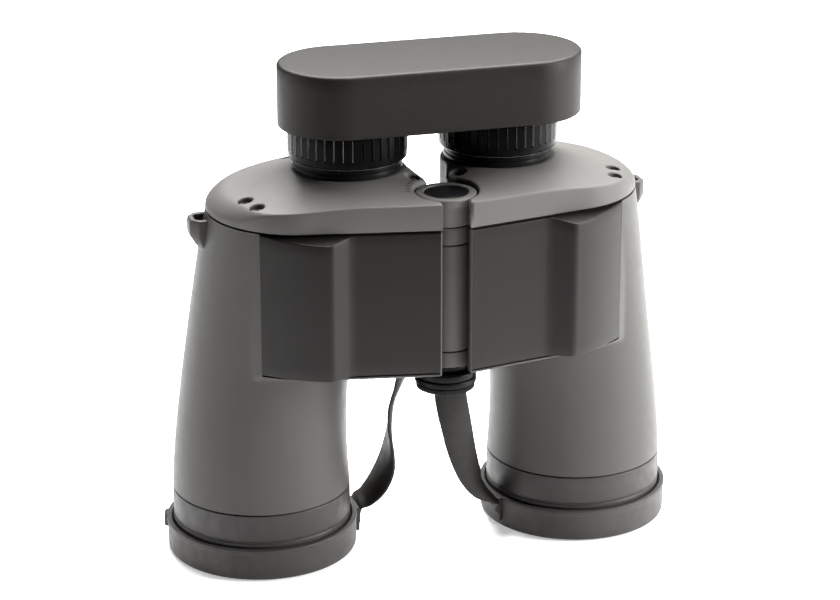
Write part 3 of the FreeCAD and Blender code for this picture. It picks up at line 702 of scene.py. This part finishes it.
def focus_ring():
    def press(turn, radius, height):
        if radius < FOCUS_R - 1.2 or height < GROOVES_LOW:
            return radius
        phase = rib_phase(turn)
        off = min(phase, 1 - phase)
        groove = 0.55 * (1 - ease(off, 0.05, 0.09))
        lip = 0.10 * ease(off, 0.07, 0.11) * (1 - ease(off, 0.13, 0.20))
        return radius + (lip - groove) * ease(height, GROOVES_LOW, GROOVES_LOW + 0.4)

    walls = [(FOCUS_R, GROOVES_LOW + 0.01, 0), (FOCUS_R, GROOVES_LOW + 0.5, 0),
             (FOCUS_R, (GROOVES_LOW + FOCUS_HIGH) / 2, 0)]
    profile = softened([
        (FOCUS_BORE_R, FOCUS_LOW), (FOCUS_R - 0.9, FOCUS_LOW), (FOCUS_R, FOCUS_LOW + 0.5, 0.4),
        *walls, (FOCUS_R, FOCUS_HIGH), (FOCUS_BORE_R, FOCUS_HIGH)], 0.45)
    return lathe("right_focus", EYE, profile, FOCUS_RIBS * 20, press)


def paint_groove_highlights(ring, sign):
    """Paints highlights in a light colour on the side walls of a focus ring's grooves and on its
    lower lip.
    """
    ring.data.materials.append(GROOVE_HIGHLIGHT)
    for face in ring.data.polygons:
        x, y, z = face.center / MM
        across = (sign * x - EYE[0], y - EYE[1])
        phase, out = rib_phase(math.atan2(across[1], across[0])), math.hypot(*across)
        on_wall = 0.05 < phase < 0.11 and out > FOCUS_R - 0.8
        on_lip = z < FOCUS_LOW + 0.45 and face.normal.z < 0.5 and out > FOCUS_R - 0.7
        if (on_wall and GROOVES_LOW + 0.3 < z < FOCUS_HIGH - 0.3) or on_lip:
            face.material_index = 1


def eyecup():
    wall, groove, bore, ledge = 16.0, 15.6, 14.56, 13.35
    ledge_low, ledge_high = 172.1, 173.3
    profile = softened([
        (bore, CUP_LOW), (wall, CUP_LOW, 0.4), (wall, CUP_LOW + 2.2, 0.3),
        (groove, CUP_LOW + 2.6, 0.3), (groove, CUP_LOW + 3.4, 0.3), (wall, CUP_LOW + 3.8, 0.3),
        (wall, CUP_HIGH, 0.6), (14.6, CUP_HIGH, 0.6), (14.1, ledge_high, 0.3),
        (ledge, ledge_high, 0.2), (ledge, ledge_low, 0.1), (bore, ledge_low, 0.1)], 0.5)
    return lathe("right_cup", EYE, profile, 144)


def ocular_collar():
    """The collar under the focusing ring and the sleeve that goes up inside the eyecup."""
    bore, foot, collar, groove, sleeve = 13.0, 17.2, 19.9, 19.6, 14.5
    low, collar_top, sleeve_top = 139.0, 151.4, 172.0
    profile = softened([
        (bore, low), (foot, low), (foot, COVER_TOP), (collar, COVER_TOP, 0.3),
        (collar, 149.0, 0.2), (groove, 149.2, 0.1), (groove, 149.6, 0.1), (collar, 149.8, 0.2),
        (collar, collar_top, 0.4), (sleeve, collar_top), (sleeve, sleeve_top),
        (bore, sleeve_top)], 0.3)
    return lathe("right_collar", EYE, profile, 144)


# ---- rain guard ----
def rain_guard():
    """An open box with round ends, its top slightly crowned."""
    def pill(radius, height, steps=64):
        right = [polar((GUARD_X + GUARD_HALF, EYE[1]), radius, -90 + 180 * i / steps)
                 for i in range(steps + 1)]
        left = [polar((GUARD_X - GUARD_HALF, EYE[1]), radius, 90 + 180 * i / steps)
                for i in range(steps + 1)]
        spread = 24
        back = segment(right[-1], left[0], GUARD_HALF * 2 / spread)[1:]
        front = segment(left[-1], right[0], GUARD_HALF * 2 / spread)[1:]
        return [(x, y, height) for x, y in right + back + left + front]

    wall, roof, edge, crown = 1.2, 2.0, 1.5, 0.25
    rows = [pill(radius, GUARD_HIGH - roof) for radius in (0.01, 8.0, 16.0, GUARD_R - wall - 0.6)]
    rows.append(pill(GUARD_R - wall, GUARD_HIGH - roof - 0.6))
    rows.append(pill(GUARD_R - wall, GUARD_LOW + 0.3))
    rows.append(pill(GUARD_R - wall + 0.25, GUARD_LOW))
    rows.append(pill(GUARD_R - 0.3, GUARD_LOW))
    rows.append(pill(GUARD_R, GUARD_LOW + 0.35))
    for step in range(1, 6):
        rows.append(pill(GUARD_R, GUARD_LOW + (GUARD_HIGH - GUARD_LOW - edge) * step / 5))
    for step in range(1, 7):
        lean = math.radians(15 * step)
        rows.append(pill(GUARD_R - edge + edge * math.cos(lean),
                         GUARD_HIGH - crown - edge + edge * math.sin(lean)))
    for radius in (19.0, 15.0, 10.0, 5.0, 0.01):
        rise = crown * (1 - (radius / (GUARD_R - edge)) ** 2)
        rows.append(pill(radius, GUARD_HIGH - crown + rise))
    return stacked("rain_guard_shell", rows, 40)


# ---- straps ----
STRAPS = {                            # middle line, then the direction of the width
    "left": [
        ((-9.3, -20.9, 75.7), (0.60, 0.80, 0.00)), ((-12.6, -18.4, 74.4), (0.60, 0.80, 0.00)),
        ((-14.5, -16.8, 67.0), (0.52, 0.85, 0.00)), ((-16.1, -13.5, 58.7), (0.42, 0.90, 0.00)),
        ((-15.9, -10.0, 50.6), (0.33, 0.94, 0.00)), ((-15.2, -7.0, 43.9), (0.18, 0.98, 0.00)),
        ((-14.8, -4.5, 37.3), (0.00, 1.00, 0.00)), ((-15.0, -2.0, 30.3), (-0.20, 0.97, 0.00)),
        ((-16.3, 0.2, 24.2), (-0.32, 0.94, 0.00)), ((-18.6, 2.2, 18.8), (-0.32, 0.94, 0.05)),
        ((-21.8, 3.8, 14.6), (-0.20, 0.97, 0.08)), ((-24.9, 4.7, 12.4), (-0.05, 1.00, 0.03)),
        ((-25.6, 4.9, 9.6), (0.03, 1.00, 0.00)), ((-25.6, 4.9, 6.0), (0.03, 1.00, 0.00))],
    "right": [
        ((5.0, -17.4, 72.9), (-0.90, 0.43, 0.00)), ((6.2, -15.0, 71.7), (-0.91, 0.40, 0.00)),
        ((5.9, -14.8, 66.0), (-0.94, 0.32, 0.00)), ((6.0, -15.2, 59.1), (-0.96, 0.25, 0.00)),
        ((6.9, -15.4, 53.3), (-0.98, 0.10, 0.00)), ((8.3, -15.0, 47.1), (-0.98, -0.08, 0.00)),
        ((9.8, -14.3, 40.5), (-0.95, -0.22, 0.05)), ((12.1, -12.9, 32.9), (-0.90, -0.42, 0.08)),
        ((15.2, -10.7, 25.5), (-0.78, -0.60, 0.12)), ((19.3, -7.8, 19.0), (-0.62, -0.76, 0.15)),
        ((23.6, -4.9, 14.4), (-0.30, -0.95, 0.06)), ((26.1, -2.6, 11.8), (0.10, -0.99, 0.00)),
        ((26.6, -2.1, 9.2), (0.22, -0.97, 0.00)), ((26.6, -2.1, 6.0), (0.22, -0.97, 0.00))],
}


def strap(side):
    """A flat moulded strap: a smooth line through its route with a rounded section."""
    route = STRAPS[side]
    fine = []
    for index in range(len(route) - 1):
        knots = [route[max(0, index - 1)], route[index], route[index + 1],
                 route[min(len(route) - 1, index + 2)]]
        for step in range(6):
            t = step / 6
            pair = []
            for part in (0, 1):
                p = [Vector(knot[part]) for knot in knots]
                pair.append(((p[1] * 2) + (p[2] - p[0]) * t
                             + (p[0] * 2 - p[1] * 5 + p[2] * 4 - p[3]) * t ** 2
                             + (p[1] * 3 - p[0] - p[2] * 3 + p[3]) * t ** 3) / 2)
            fine.append(pair)
    fine.append([Vector(part) for part in route[-1]])
    wide, thick, edge = 6.0, 0.6, 0.35
    section = [(-wide + edge, -thick), (wide - edge, -thick), (wide, -thick + edge),
               (wide, thick - edge), (wide - edge, thick), (-wide + edge, thick),
               (-wide, thick - edge), (-wide, -thick + edge)]
    rows = []
    for index, (centre, width) in enumerate(fine):
        before = fine[max(0, index - 1)][0]
        after = fine[min(len(fine) - 1, index + 1)][0]
        along = (after - before).normalized()
        across = (width - along * width.dot(along)).normalized()
        normal = along.cross(across)
        rows.append([tuple(centre + across * a + normal * b) for a, b in section])
    return stacked(side + "_strap", rows, 50)


def strap_root(side):
    """The pad that joins a strap to the outside of its cap."""
    centre = (BARREL[0] * (1 if side == "right" else -1), BARREL[1])
    end = STRAPS[side][-1][0]
    facing = math.degrees(math.atan2(end[1] - centre[1], end[0] - centre[0]))
    half, inner, outer = 9.6, CAP_R - 0.4, CAP_R + 1.4
    turns = [facing - half + 2 * half * step / 12 for step in range(13)]
    plan = [polar(centre, outer, turn) for turn in turns]
    plan += [polar(centre, inner, turn) for turn in turns[::-1]]
    return edged(block(side + "_strap_root", plan, 2.6, CAP_HIGH - 0.2), 0.5)


# ---- hinge ----
def ring_piece(name, outer, inner, low, high, edge, steps=128, press=None):
    profile = softened([(inner, low), (outer, low), (outer, high), (inner, high)], edge)
    return lathe(name, HINGE, profile, steps, press)


def knurl(turn, radius, _):
    """Fine ribs round the outside of the strap retainer."""
    rib_count, depth = 60, 0.28
    if radius < RETAINER_R - 0.8:
        return radius
    return radius - depth * (0.5 + 0.5 * math.cos(rib_count * turn))


def hinge_cap():
    rim_low = HEAD_HIGH - 3.0
    profile = softened([
        (0, HEAD_LOW), (KNUCKLE_R, HEAD_LOW, 0.35), (KNUCKLE_R, rim_low, 0.1),
        (INDEX_R, rim_low, 0.2), (INDEX_R, HEAD_HIGH, 0.9), (DISC_R, HEAD_HIGH, 0.4),
        (DISC_R, HEAD_HIGH - 1.2, 0.1), (0, HEAD_HIGH - 1.2)], 0.3, 6)
    return lathe("hinge_cap", HINGE, profile, 144)


def hinge_dial():
    top = HEAD_HIGH - 0.3
    profile = softened([
        (0, top - 0.9), (DISC_R - 0.05, top - 0.9), (DISC_R - 0.05, top, 0.3),
        (6.6, top, 0.1), (6.4, top - 0.2, 0.1), (6.1, top - 0.2, 0.1), (5.9, top, 0.1),
        (0, top)], 0.1)
    return lathe("hinge_dial", HINGE, profile, 128)


def pad(name, centre, turn, length, width, low, high):
    """A small raised bar about a centre, its length along a direction."""
    plan = [beside(centre, turn, out * length / 2, across * width / 2)
            for out, across in ((-1, -1), (1, -1), (1, 1), (-1, 1))]
    return block(name, plan, low, high)


def scale_marks():
    """Eye-spacing ticks on the left cover beside the hinge cap."""
    marks = []
    for index in range(6):
        turn = 132.0 + 9.0 * index
        length = 2.6 if index % 5 == 0 else 1.6
        centre = polar(HINGE, 13.2 + length / 2, turn)
        top = cover_surface(-centre[0], centre[1])
        marks.append(pad("tick", centre, turn, length, 0.35, top - 0.4, top + 0.06))
    return merged("eye_spacing_marks", marks)


def index_dot():
    """The dot on the hinge cap that points at the scale."""
    spot, radius = polar(HINGE, (INDEX_R + DISC_R) / 2, 150.0), 0.5
    low, rim, crown = HEAD_HIGH - 0.3, HEAD_HIGH + 0.04, HEAD_HIGH + 0.06
    return lathe("index_dot", spot, softened(
        [(0, low), (radius, low), (radius, rim), (0, crown)], 0.1), 24)


def lug():
    """Neck-strap bracket with its slot, tapering into the barrel below."""
    low, high, root_x = 120.0, 131.5, 81.0
    plan = [(79.0, -0.5), (84.4, -0.5), (87.2, 2.6), (87.2, 8.4), (84.4, 11.5), (79.0, 11.5),
            (79.0, 9.2), (84.0, 9.2), (85.2, 8.0), (85.2, 3.0), (84.0, 1.8), (79.0, 1.8)]
    rows = []
    for height, shrink in ((low, 0.42), (low + 2.6, 0.72), (low + 5.0, 0.95), (low + 6.5, 1.0),
                           (high - 1.5, 1.0), (high, 0.93)):
        rows.append([(root_x + (x - root_x) * shrink if x > root_x else x, y, height)
                     for x, y in plan])
    return edged(stacked("right_lug", rows), 0.45)


# ---- materials ----
def blank_material(name):
    mat = bpy.data.materials.new(name)
    mat.use_nodes = True
    return mat, mat.node_tree, mat.node_tree.nodes["Principled BSDF"]


def noise(tree, scale, detail):
    """Noise over the object's own coordinates."""
    place = tree.nodes.new("ShaderNodeTexCoord")
    node = tree.nodes.new("ShaderNodeTexNoise")
    node.inputs["Scale"].default_value = scale
    node.inputs["Detail"].default_value = detail
    tree.links.new(place.outputs["Object"], node.inputs["Vector"])
    return node.outputs["Fac"]


def ranged(tree, value, low, high, start, stop, kind="LINEAR"):
    """Maps start to stop of a value onto low to high."""
    node = tree.nodes.new("ShaderNodeMapRange")
    node.interpolation_type = kind
    node.inputs["From Min"].default_value = start
    node.inputs["From Max"].default_value = stop
    node.inputs["To Min"].default_value = low
    node.inputs["To Max"].default_value = high
    tree.links.new(value, node.inputs["Value"])
    return node.outputs["Result"]


def mixed(tree, factor, first, second):
    """Mixes two colours, each a plain colour or a socket."""
    node = tree.nodes.new("ShaderNodeMix")
    node.data_type = "RGBA"
    tree.links.new(factor, node.inputs["Factor"])
    for slot, value in (("A", first), ("B", second)):
        socket = [s for s in node.inputs if s.name == slot and s.type == "RGBA"][0]
        if isinstance(value, tuple):
            socket.default_value = (*value, 1.0)
        else:
            tree.links.new(value, socket)
    return [s for s in node.outputs if s.type == "RGBA"][0]


def material(name, colour, rough, grain, mottle, metal=0.0, spread=0.08, scuff=0.0, sheen=0.0,
             specular=0.5):
    """A procedural surface: mottled colour, uneven roughness, and grain as (scale, depth)."""
    mat, tree, shader = blank_material(name)
    shader.inputs["Metallic"].default_value = metal
    shader.inputs["Sheen Weight"].default_value = sheen
    shader.inputs["Specular IOR Level"].default_value = specular

    dark = tuple(c * (1 - mottle) for c in colour)
    light = tuple(min(1.0, c * (1 + mottle)) for c in colour)
    patches = ranged(tree, noise(tree, 38.0, 3.0), 0.0, 1.0, 0.3, 0.7)
    tone = mixed(tree, patches, dark, light)
    if scuff:
        worn = tuple(min(1.0, c + scuff) for c in colour)
        specks = ranged(tree, noise(tree, 900.0, 5.0), 0.0, 0.5, 0.62, 0.80)
        tone = mixed(tree, specks, tone, worn)
    tree.links.new(tone, shader.inputs["Base Color"])
    uneven = ranged(tree, noise(tree, 260.0, 3.0), rough - spread, rough + spread, 0.3, 0.7)
    tree.links.new(uneven, shader.inputs["Roughness"])

    scale, depth = grain
    bump = tree.nodes.new("ShaderNodeBump")
    bump.inputs["Strength"].default_value = 1.0
    bump.inputs["Distance"].default_value = depth * MM
    tree.links.new(noise(tree, scale, 4.0), bump.inputs["Height"])
    tree.links.new(bump.outputs["Normal"], shader.inputs["Normal"])
    return mat


def glass(name, tint):
    """Clear glass with a coating that shows at grazing angles, and a faint haze."""
    mat, tree, shader = blank_material(name)
    shader.inputs["Transmission Weight"].default_value = 1.0
    shader.inputs["IOR"].default_value = 1.52
    shader.inputs["Coat Weight"].default_value = 0.6
    shader.inputs["Coat Roughness"].default_value = 0.02
    facing = tree.nodes.new("ShaderNodeLayerWeight")
    facing.inputs["Blend"].default_value = 0.35
    ramp = tree.nodes.new("ShaderNodeValToRGB")
    ramp.color_ramp.elements[0].color = (*tint, 1.0)
    ramp.color_ramp.elements[1].color = (0.62, 0.55, 0.85, 1.0)
    tree.links.new(facing.outputs["Facing"], ramp.inputs["Fac"])
    tree.links.new(ramp.outputs["Color"], shader.inputs["Base Color"])
    haze = ranged(tree, noise(tree, 120.0, 2.0), 0.01, 0.06, 0.0, 1.0)
    tree.links.new(haze, shader.inputs["Roughness"])
    return mat


BODY = material("body_paint", (0.060, 0.0575, 0.0540), 0.46, (3200.0, 0.006), 0.015, spread=0.03,
                specular=0.20)
COVER = material("cover_paint", (0.096, 0.0925, 0.0865), 0.50, (3200.0, 0.010), 0.015, spread=0.03,
                 specular=0.26)
GRIP = material("grip_rubber", (0.0125, 0.0112, 0.0102), 0.42, (1900.0, 0.022), 0.04,
                spread=0.02, specular=0.18)
ANODISED = material("black_anodised", (0.006, 0.006, 0.006), 0.32, (2200.0, 0.006), 0.10,
                    spread=0.02, specular=0.08)
RING = material("objective_ring_coat", (0.0225, 0.0196, 0.0183), 0.5, (1800.0, 0.02), 0.08,
                specular=0.38)
ENAMEL = material("focus_enamel", (0.003, 0.003, 0.003), 0.24, (1600.0, 0.002), 0.10,
                  spread=0.02, specular=0.06)
# Light grey for the painted highlights on the focus rings' groove walls and lower lips.
GROOVE_HIGHLIGHT = material("painted_groove_highlight", (0.42, 0.41, 0.40), 0.40, (1600.0, 0.01), 0.10)
SCREW = material("black_oxide", (0.110, 0.106, 0.100), 0.34, (1200.0, 0.02), 0.15, metal=0.2)
SEAL = material("seal_rubber", (0.003, 0.003, 0.003), 0.70, (1500.0, 0.02), 0.1, specular=0.1)
RUBBER = material("cap_rubber", (0.0240, 0.0210, 0.0188), 0.58, (1400.0, 0.04), 0.10, sheen=0.06,
                  scuff=0.02, specular=0.4)
STRAP = material("strap_rubber", (0.0135, 0.0120, 0.0105), 0.55, (1400.0, 0.03), 0.08,
                 specular=0.25)
CUP = material("eyecup_rubber", (0.008, 0.008, 0.008), 0.60, (1300.0, 0.04), 0.10, specular=0.3)
GUARD = material("guard_rubber", (0.0140, 0.0124, 0.0104), 0.48, (1500.0, 0.10), 0.03,
                 spread=0.02, scuff=0.006, specular=0.16)
DIAL = material("dial_black", (0.005, 0.005, 0.005), 0.40, (1500.0, 0.01), 0.1, specular=0.10)
DARK_INK = material("dark_ink", (0.015, 0.015, 0.015), 0.5, (900.0, 0.01), 0.05)
ALUMINIUM = material("machined_aluminium", (0.62, 0.62, 0.63), 0.32, (700.0, 0.02), 0.04, metal=1.0)
STEEL = material("ground_steel", (0.50, 0.50, 0.51), 0.28, (900.0, 0.015), 0.05, metal=1.0)
BRASS = material("turned_brass", (0.66, 0.47, 0.20), 0.30, (800.0, 0.015), 0.06, metal=1.0)
GLASS = glass("coated_glass", (0.80, 0.93, 0.86))

# Nodes that are shown as the CAD draws them.
NODE_LOOKS = {
    "cover_gasket": SEAL, "objective_cell": ANODISED, "crown_lens": GLASS, "flint_lens": GLASS,
    "lens_retainer": ANODISED, "prism_plate": ALUMINIUM, "first_prism": GLASS,
    "second_prism": GLASS, "prism_clips": STEEL, "ocular_tube": ANODISED, "field_lens": GLASS,
    "eye_lens": GLASS,
}
CENTRE_LOOKS = {"hinge_shaft": STEEL, "hinge_bushes": BRASS, "hinge_washers": SEAL,
                "tripod_socket": BRASS}


# ---- assembly ----
def fitted(piece, body, look, slot, *nodes):
    """Gives a piece its look and its body, and hides the CAD nodes that it stands for; the slot is
    not used.
    """
    piece.data.materials.clear()
    piece.data.materials.append(look)
    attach(piece, body)
    if nodes:
        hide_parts(*nodes)
    return piece


def both_sides(right_piece, stem, rider, look, slot, node):
    """Fits a piece drawn for the right side and its mirror image."""
    right_piece.name = "right_" + stem + "_skin"
    twin = mirrored(right_piece, "left_" + stem + "_skin")
    for side, piece in (("right", right_piece), ("left", twin)):
        fitted(piece, side + rider, look, slot, side + "_" + node)


core = body_core()
twin_core = mirrored(core, "left_core")
for side, sign in SIDES:
    body_parts = [core if side == "right" else twin_core]
    for low, high in KNUCKLES[side]:
        for part in knuckle(low, high):
            if sign < 0:
                flipped = mirrored(part, "flipped")
                bpy.data.objects.remove(part)
                part = flipped
            body_parts.append(part)
    shell = merged(side + "_body_skin", body_parts)
    fitted(shell, side + "_barrel", BODY, "body_grey", side + "_body_shell")

both_sides(top_cover(), "cover", "_barrel", COVER, "cover_grey", "top_cover")
both_sides(screw_heads(), "screws", "_barrel", SCREW, "screw_black", "cover_screws")
both_sides(grip_panel(), "panel", "_barrel", GRIP, "grip_rubber", "grip_panel")
both_sides(lug(), "lug", "_barrel", BODY, "body_grey", "strap_lug")
both_sides(objective_ring(), "ring", "_barrel", RING, "black_anodised", "objective_ring")
both_sides(ocular_collar(), "collar", "_barrel", ANODISED, "black_anodised", "ocular_housing")
both_sides(focus_ring(), "focus", "_focus", ENAMEL, "focus_black", "focus_ring")
# Painted highlights on the groove walls and lower lips of both focus rings.
for side, sign in SIDES:
    paint_groove_highlights(bpy.data.objects[side + "_focus_skin"], sign)
both_sides(eyecup(), "cup", "_eyecup", CUP, "eyecup_rubber", "eyecup")
both_sides(objective_cap(), "cap", "_cap", RUBBER, "cap_rubber", "objective_cap")
fitted(rain_guard(), "rain_guard", GUARD, "guard_shell", "rain_guard")
fitted(hinge_cap(), "right_barrel", COVER, "cover_grey", "hinge_head")
fitted(hinge_dial(), "right_barrel", DIAL, "disc_black", "hinge_disc")
fitted(scale_marks(), "left_barrel", DARK_INK, "cover_grey")
fitted(index_dot(), "right_barrel", DARK_INK, "disc_black")

for side, _ in SIDES:
    eye_low, eye_high = heights(side + "_strap_eye")
    fitted(ring_piece(side + "_eye_skin", STRAP_EYE_R, STRAP_EYE_HOLE_R, eye_low, eye_high, 0.6),
           side + "_barrel", ANODISED, "cap_rubber", side + "_strap_eye")
    ribbon = strap(side)
    ribbon.data.materials.append(STRAP)
    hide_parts(side + "_cap_strap")
    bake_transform(ribbon)

for side, _ in SIDES:
    fitted(strap_root(side), side + "_cap", RUBBER, "cap_rubber")

retainer_low, retainer_high = heights("strap_retainer")
fitted(ring_piece("retainer_skin", RETAINER_R, SHAFT_HOLE_R, retainer_low, retainer_high, 0.3,
                  480, knurl),
       "right_barrel", ANODISED, "black_anodised", "strap_retainer")
nut_low, nut_high = heights("hinge_nut")
fitted(ring_piece("nut_skin", NUT_R, SHAFT_HOLE_R, nut_low, nut_high, 0.5),
       "right_barrel", ANODISED, "black_anodised", "hinge_nut")

side_looks = {side + "_" + stem: look for side, _ in SIDES for stem, look in NODE_LOOKS.items()}
for name, look in {**side_looks, **CENTRE_LOOKS}.items():
    node_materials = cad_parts[name].data.materials
    node_materials.clear()
    node_materials.append(look)


# ---- stage, lights and camera ----
def stage_material():
    """White paper under and behind the object, made to glow there, with painted shade on the floor
    in front of it.
    """
    mat, tree, shader = blank_material("paper")
    shader.inputs["Emission Color"].default_value = (1.0, 1.0, 1.0, 1.0)
    shader.inputs["Roughness"].default_value = 0.9
    shader.inputs["Specular IOR Level"].default_value = 0.1
    place = tree.nodes.new("ShaderNodeTexCoord")
    split = tree.nodes.new("ShaderNodeSeparateXYZ")
    tree.links.new(place.outputs["Object"], split.inputs["Vector"])
    # Painted shade: colour and glow fall off towards the front, where a dim room would leave the
    # floor in shade.
    for socket, dim, lit in (("Base Color", 0.12, 0.93), ("Emission Strength", 0.0, 0.42)):
        graded = ranged(tree, split.outputs["Y"], dim, lit, -0.45, -0.17, "SMOOTHSTEP")
        tree.links.new(graded, shader.inputs[socket])
    return mat


floor_mesh = bpy.data.meshes.new("floor")
reach = 6.0
floor_mesh.from_pydata([(-reach, -reach, 0), (reach, -reach, 0), (reach, reach, 0),
                        (-reach, reach, 0)], [], [(0, 1, 2, 3)])
floor = bpy.data.objects.new("floor", floor_mesh)
floor.location.z = -0.0003            # just under the plane that the object stands on
scene.collection.objects.link(floor)
floor_mesh.materials.append(stage_material())


def studio_world():
    """White paper behind and beside the object, and a dim room in front of it."""
    world = bpy.data.worlds.new("studio")
    world.use_nodes = True
    tree = world.node_tree
    backdrop = tree.nodes["Background"]
    place = tree.nodes.new("ShaderNodeTexCoord")
    split = tree.nodes.new("ShaderNodeSeparateXYZ")
    tree.links.new(place.outputs["Generated"], split.inputs["Vector"])
    graded = ranged(tree, split.outputs["Y"], 0.05, 0.8, -0.35, 0.55, "SMOOTHSTEP")
    tree.links.new(graded, backdrop.inputs["Strength"])
    return world


scene.world = studio_world()


def softbox(name, spot, size, power, target=(0.0, 0.0, 0.09)):
    """A soft rectangular lamp that points at the middle of the object; metres and watts."""
    data = bpy.data.lights.new(name, "AREA")
    data.shape = "RECTANGLE"
    data.size, data.size_y = size
    data.energy = power
    lamp = bpy.data.objects.new(name, data)
    lamp.location = spot
    aim = Vector(target) - Vector(spot)
    lamp.rotation_euler = aim.to_track_quat("-Z", "Y").to_euler()
    scene.collection.objects.link(lamp)


softbox("top", (0.15, 0.30, 0.80), (0.9, 0.7), 36.0)
softbox("right", (1.15, -0.62, 0.5), (0.4, 0.9), 36.0)
softbox("right_rim", (1.2, 0.5, 0.4), (0.4, 0.9), 4.0)
softbox("left_rim", (-1.25, 0.45, 0.45), (0.4, 0.9), 3.0)

# The camera stands where the photograph was taken from, in metres.
camera_data = bpy.data.cameras.new("camera")
camera_data.lens = 121.47
camera_data.sensor_width = 36.0
camera = bpy.data.objects.new("camera", camera_data)
camera.location = (-0.28003, -0.94915, 0.45473)
look = Vector((-0.00363, -0.00725, 0.09573)) - camera.location
camera.rotation_euler = look.to_track_quat("-Z", "Y").to_euler()
scene.collection.objects.link(camera)
scene.camera = camera
scene.view_settings.view_transform = "Standard"
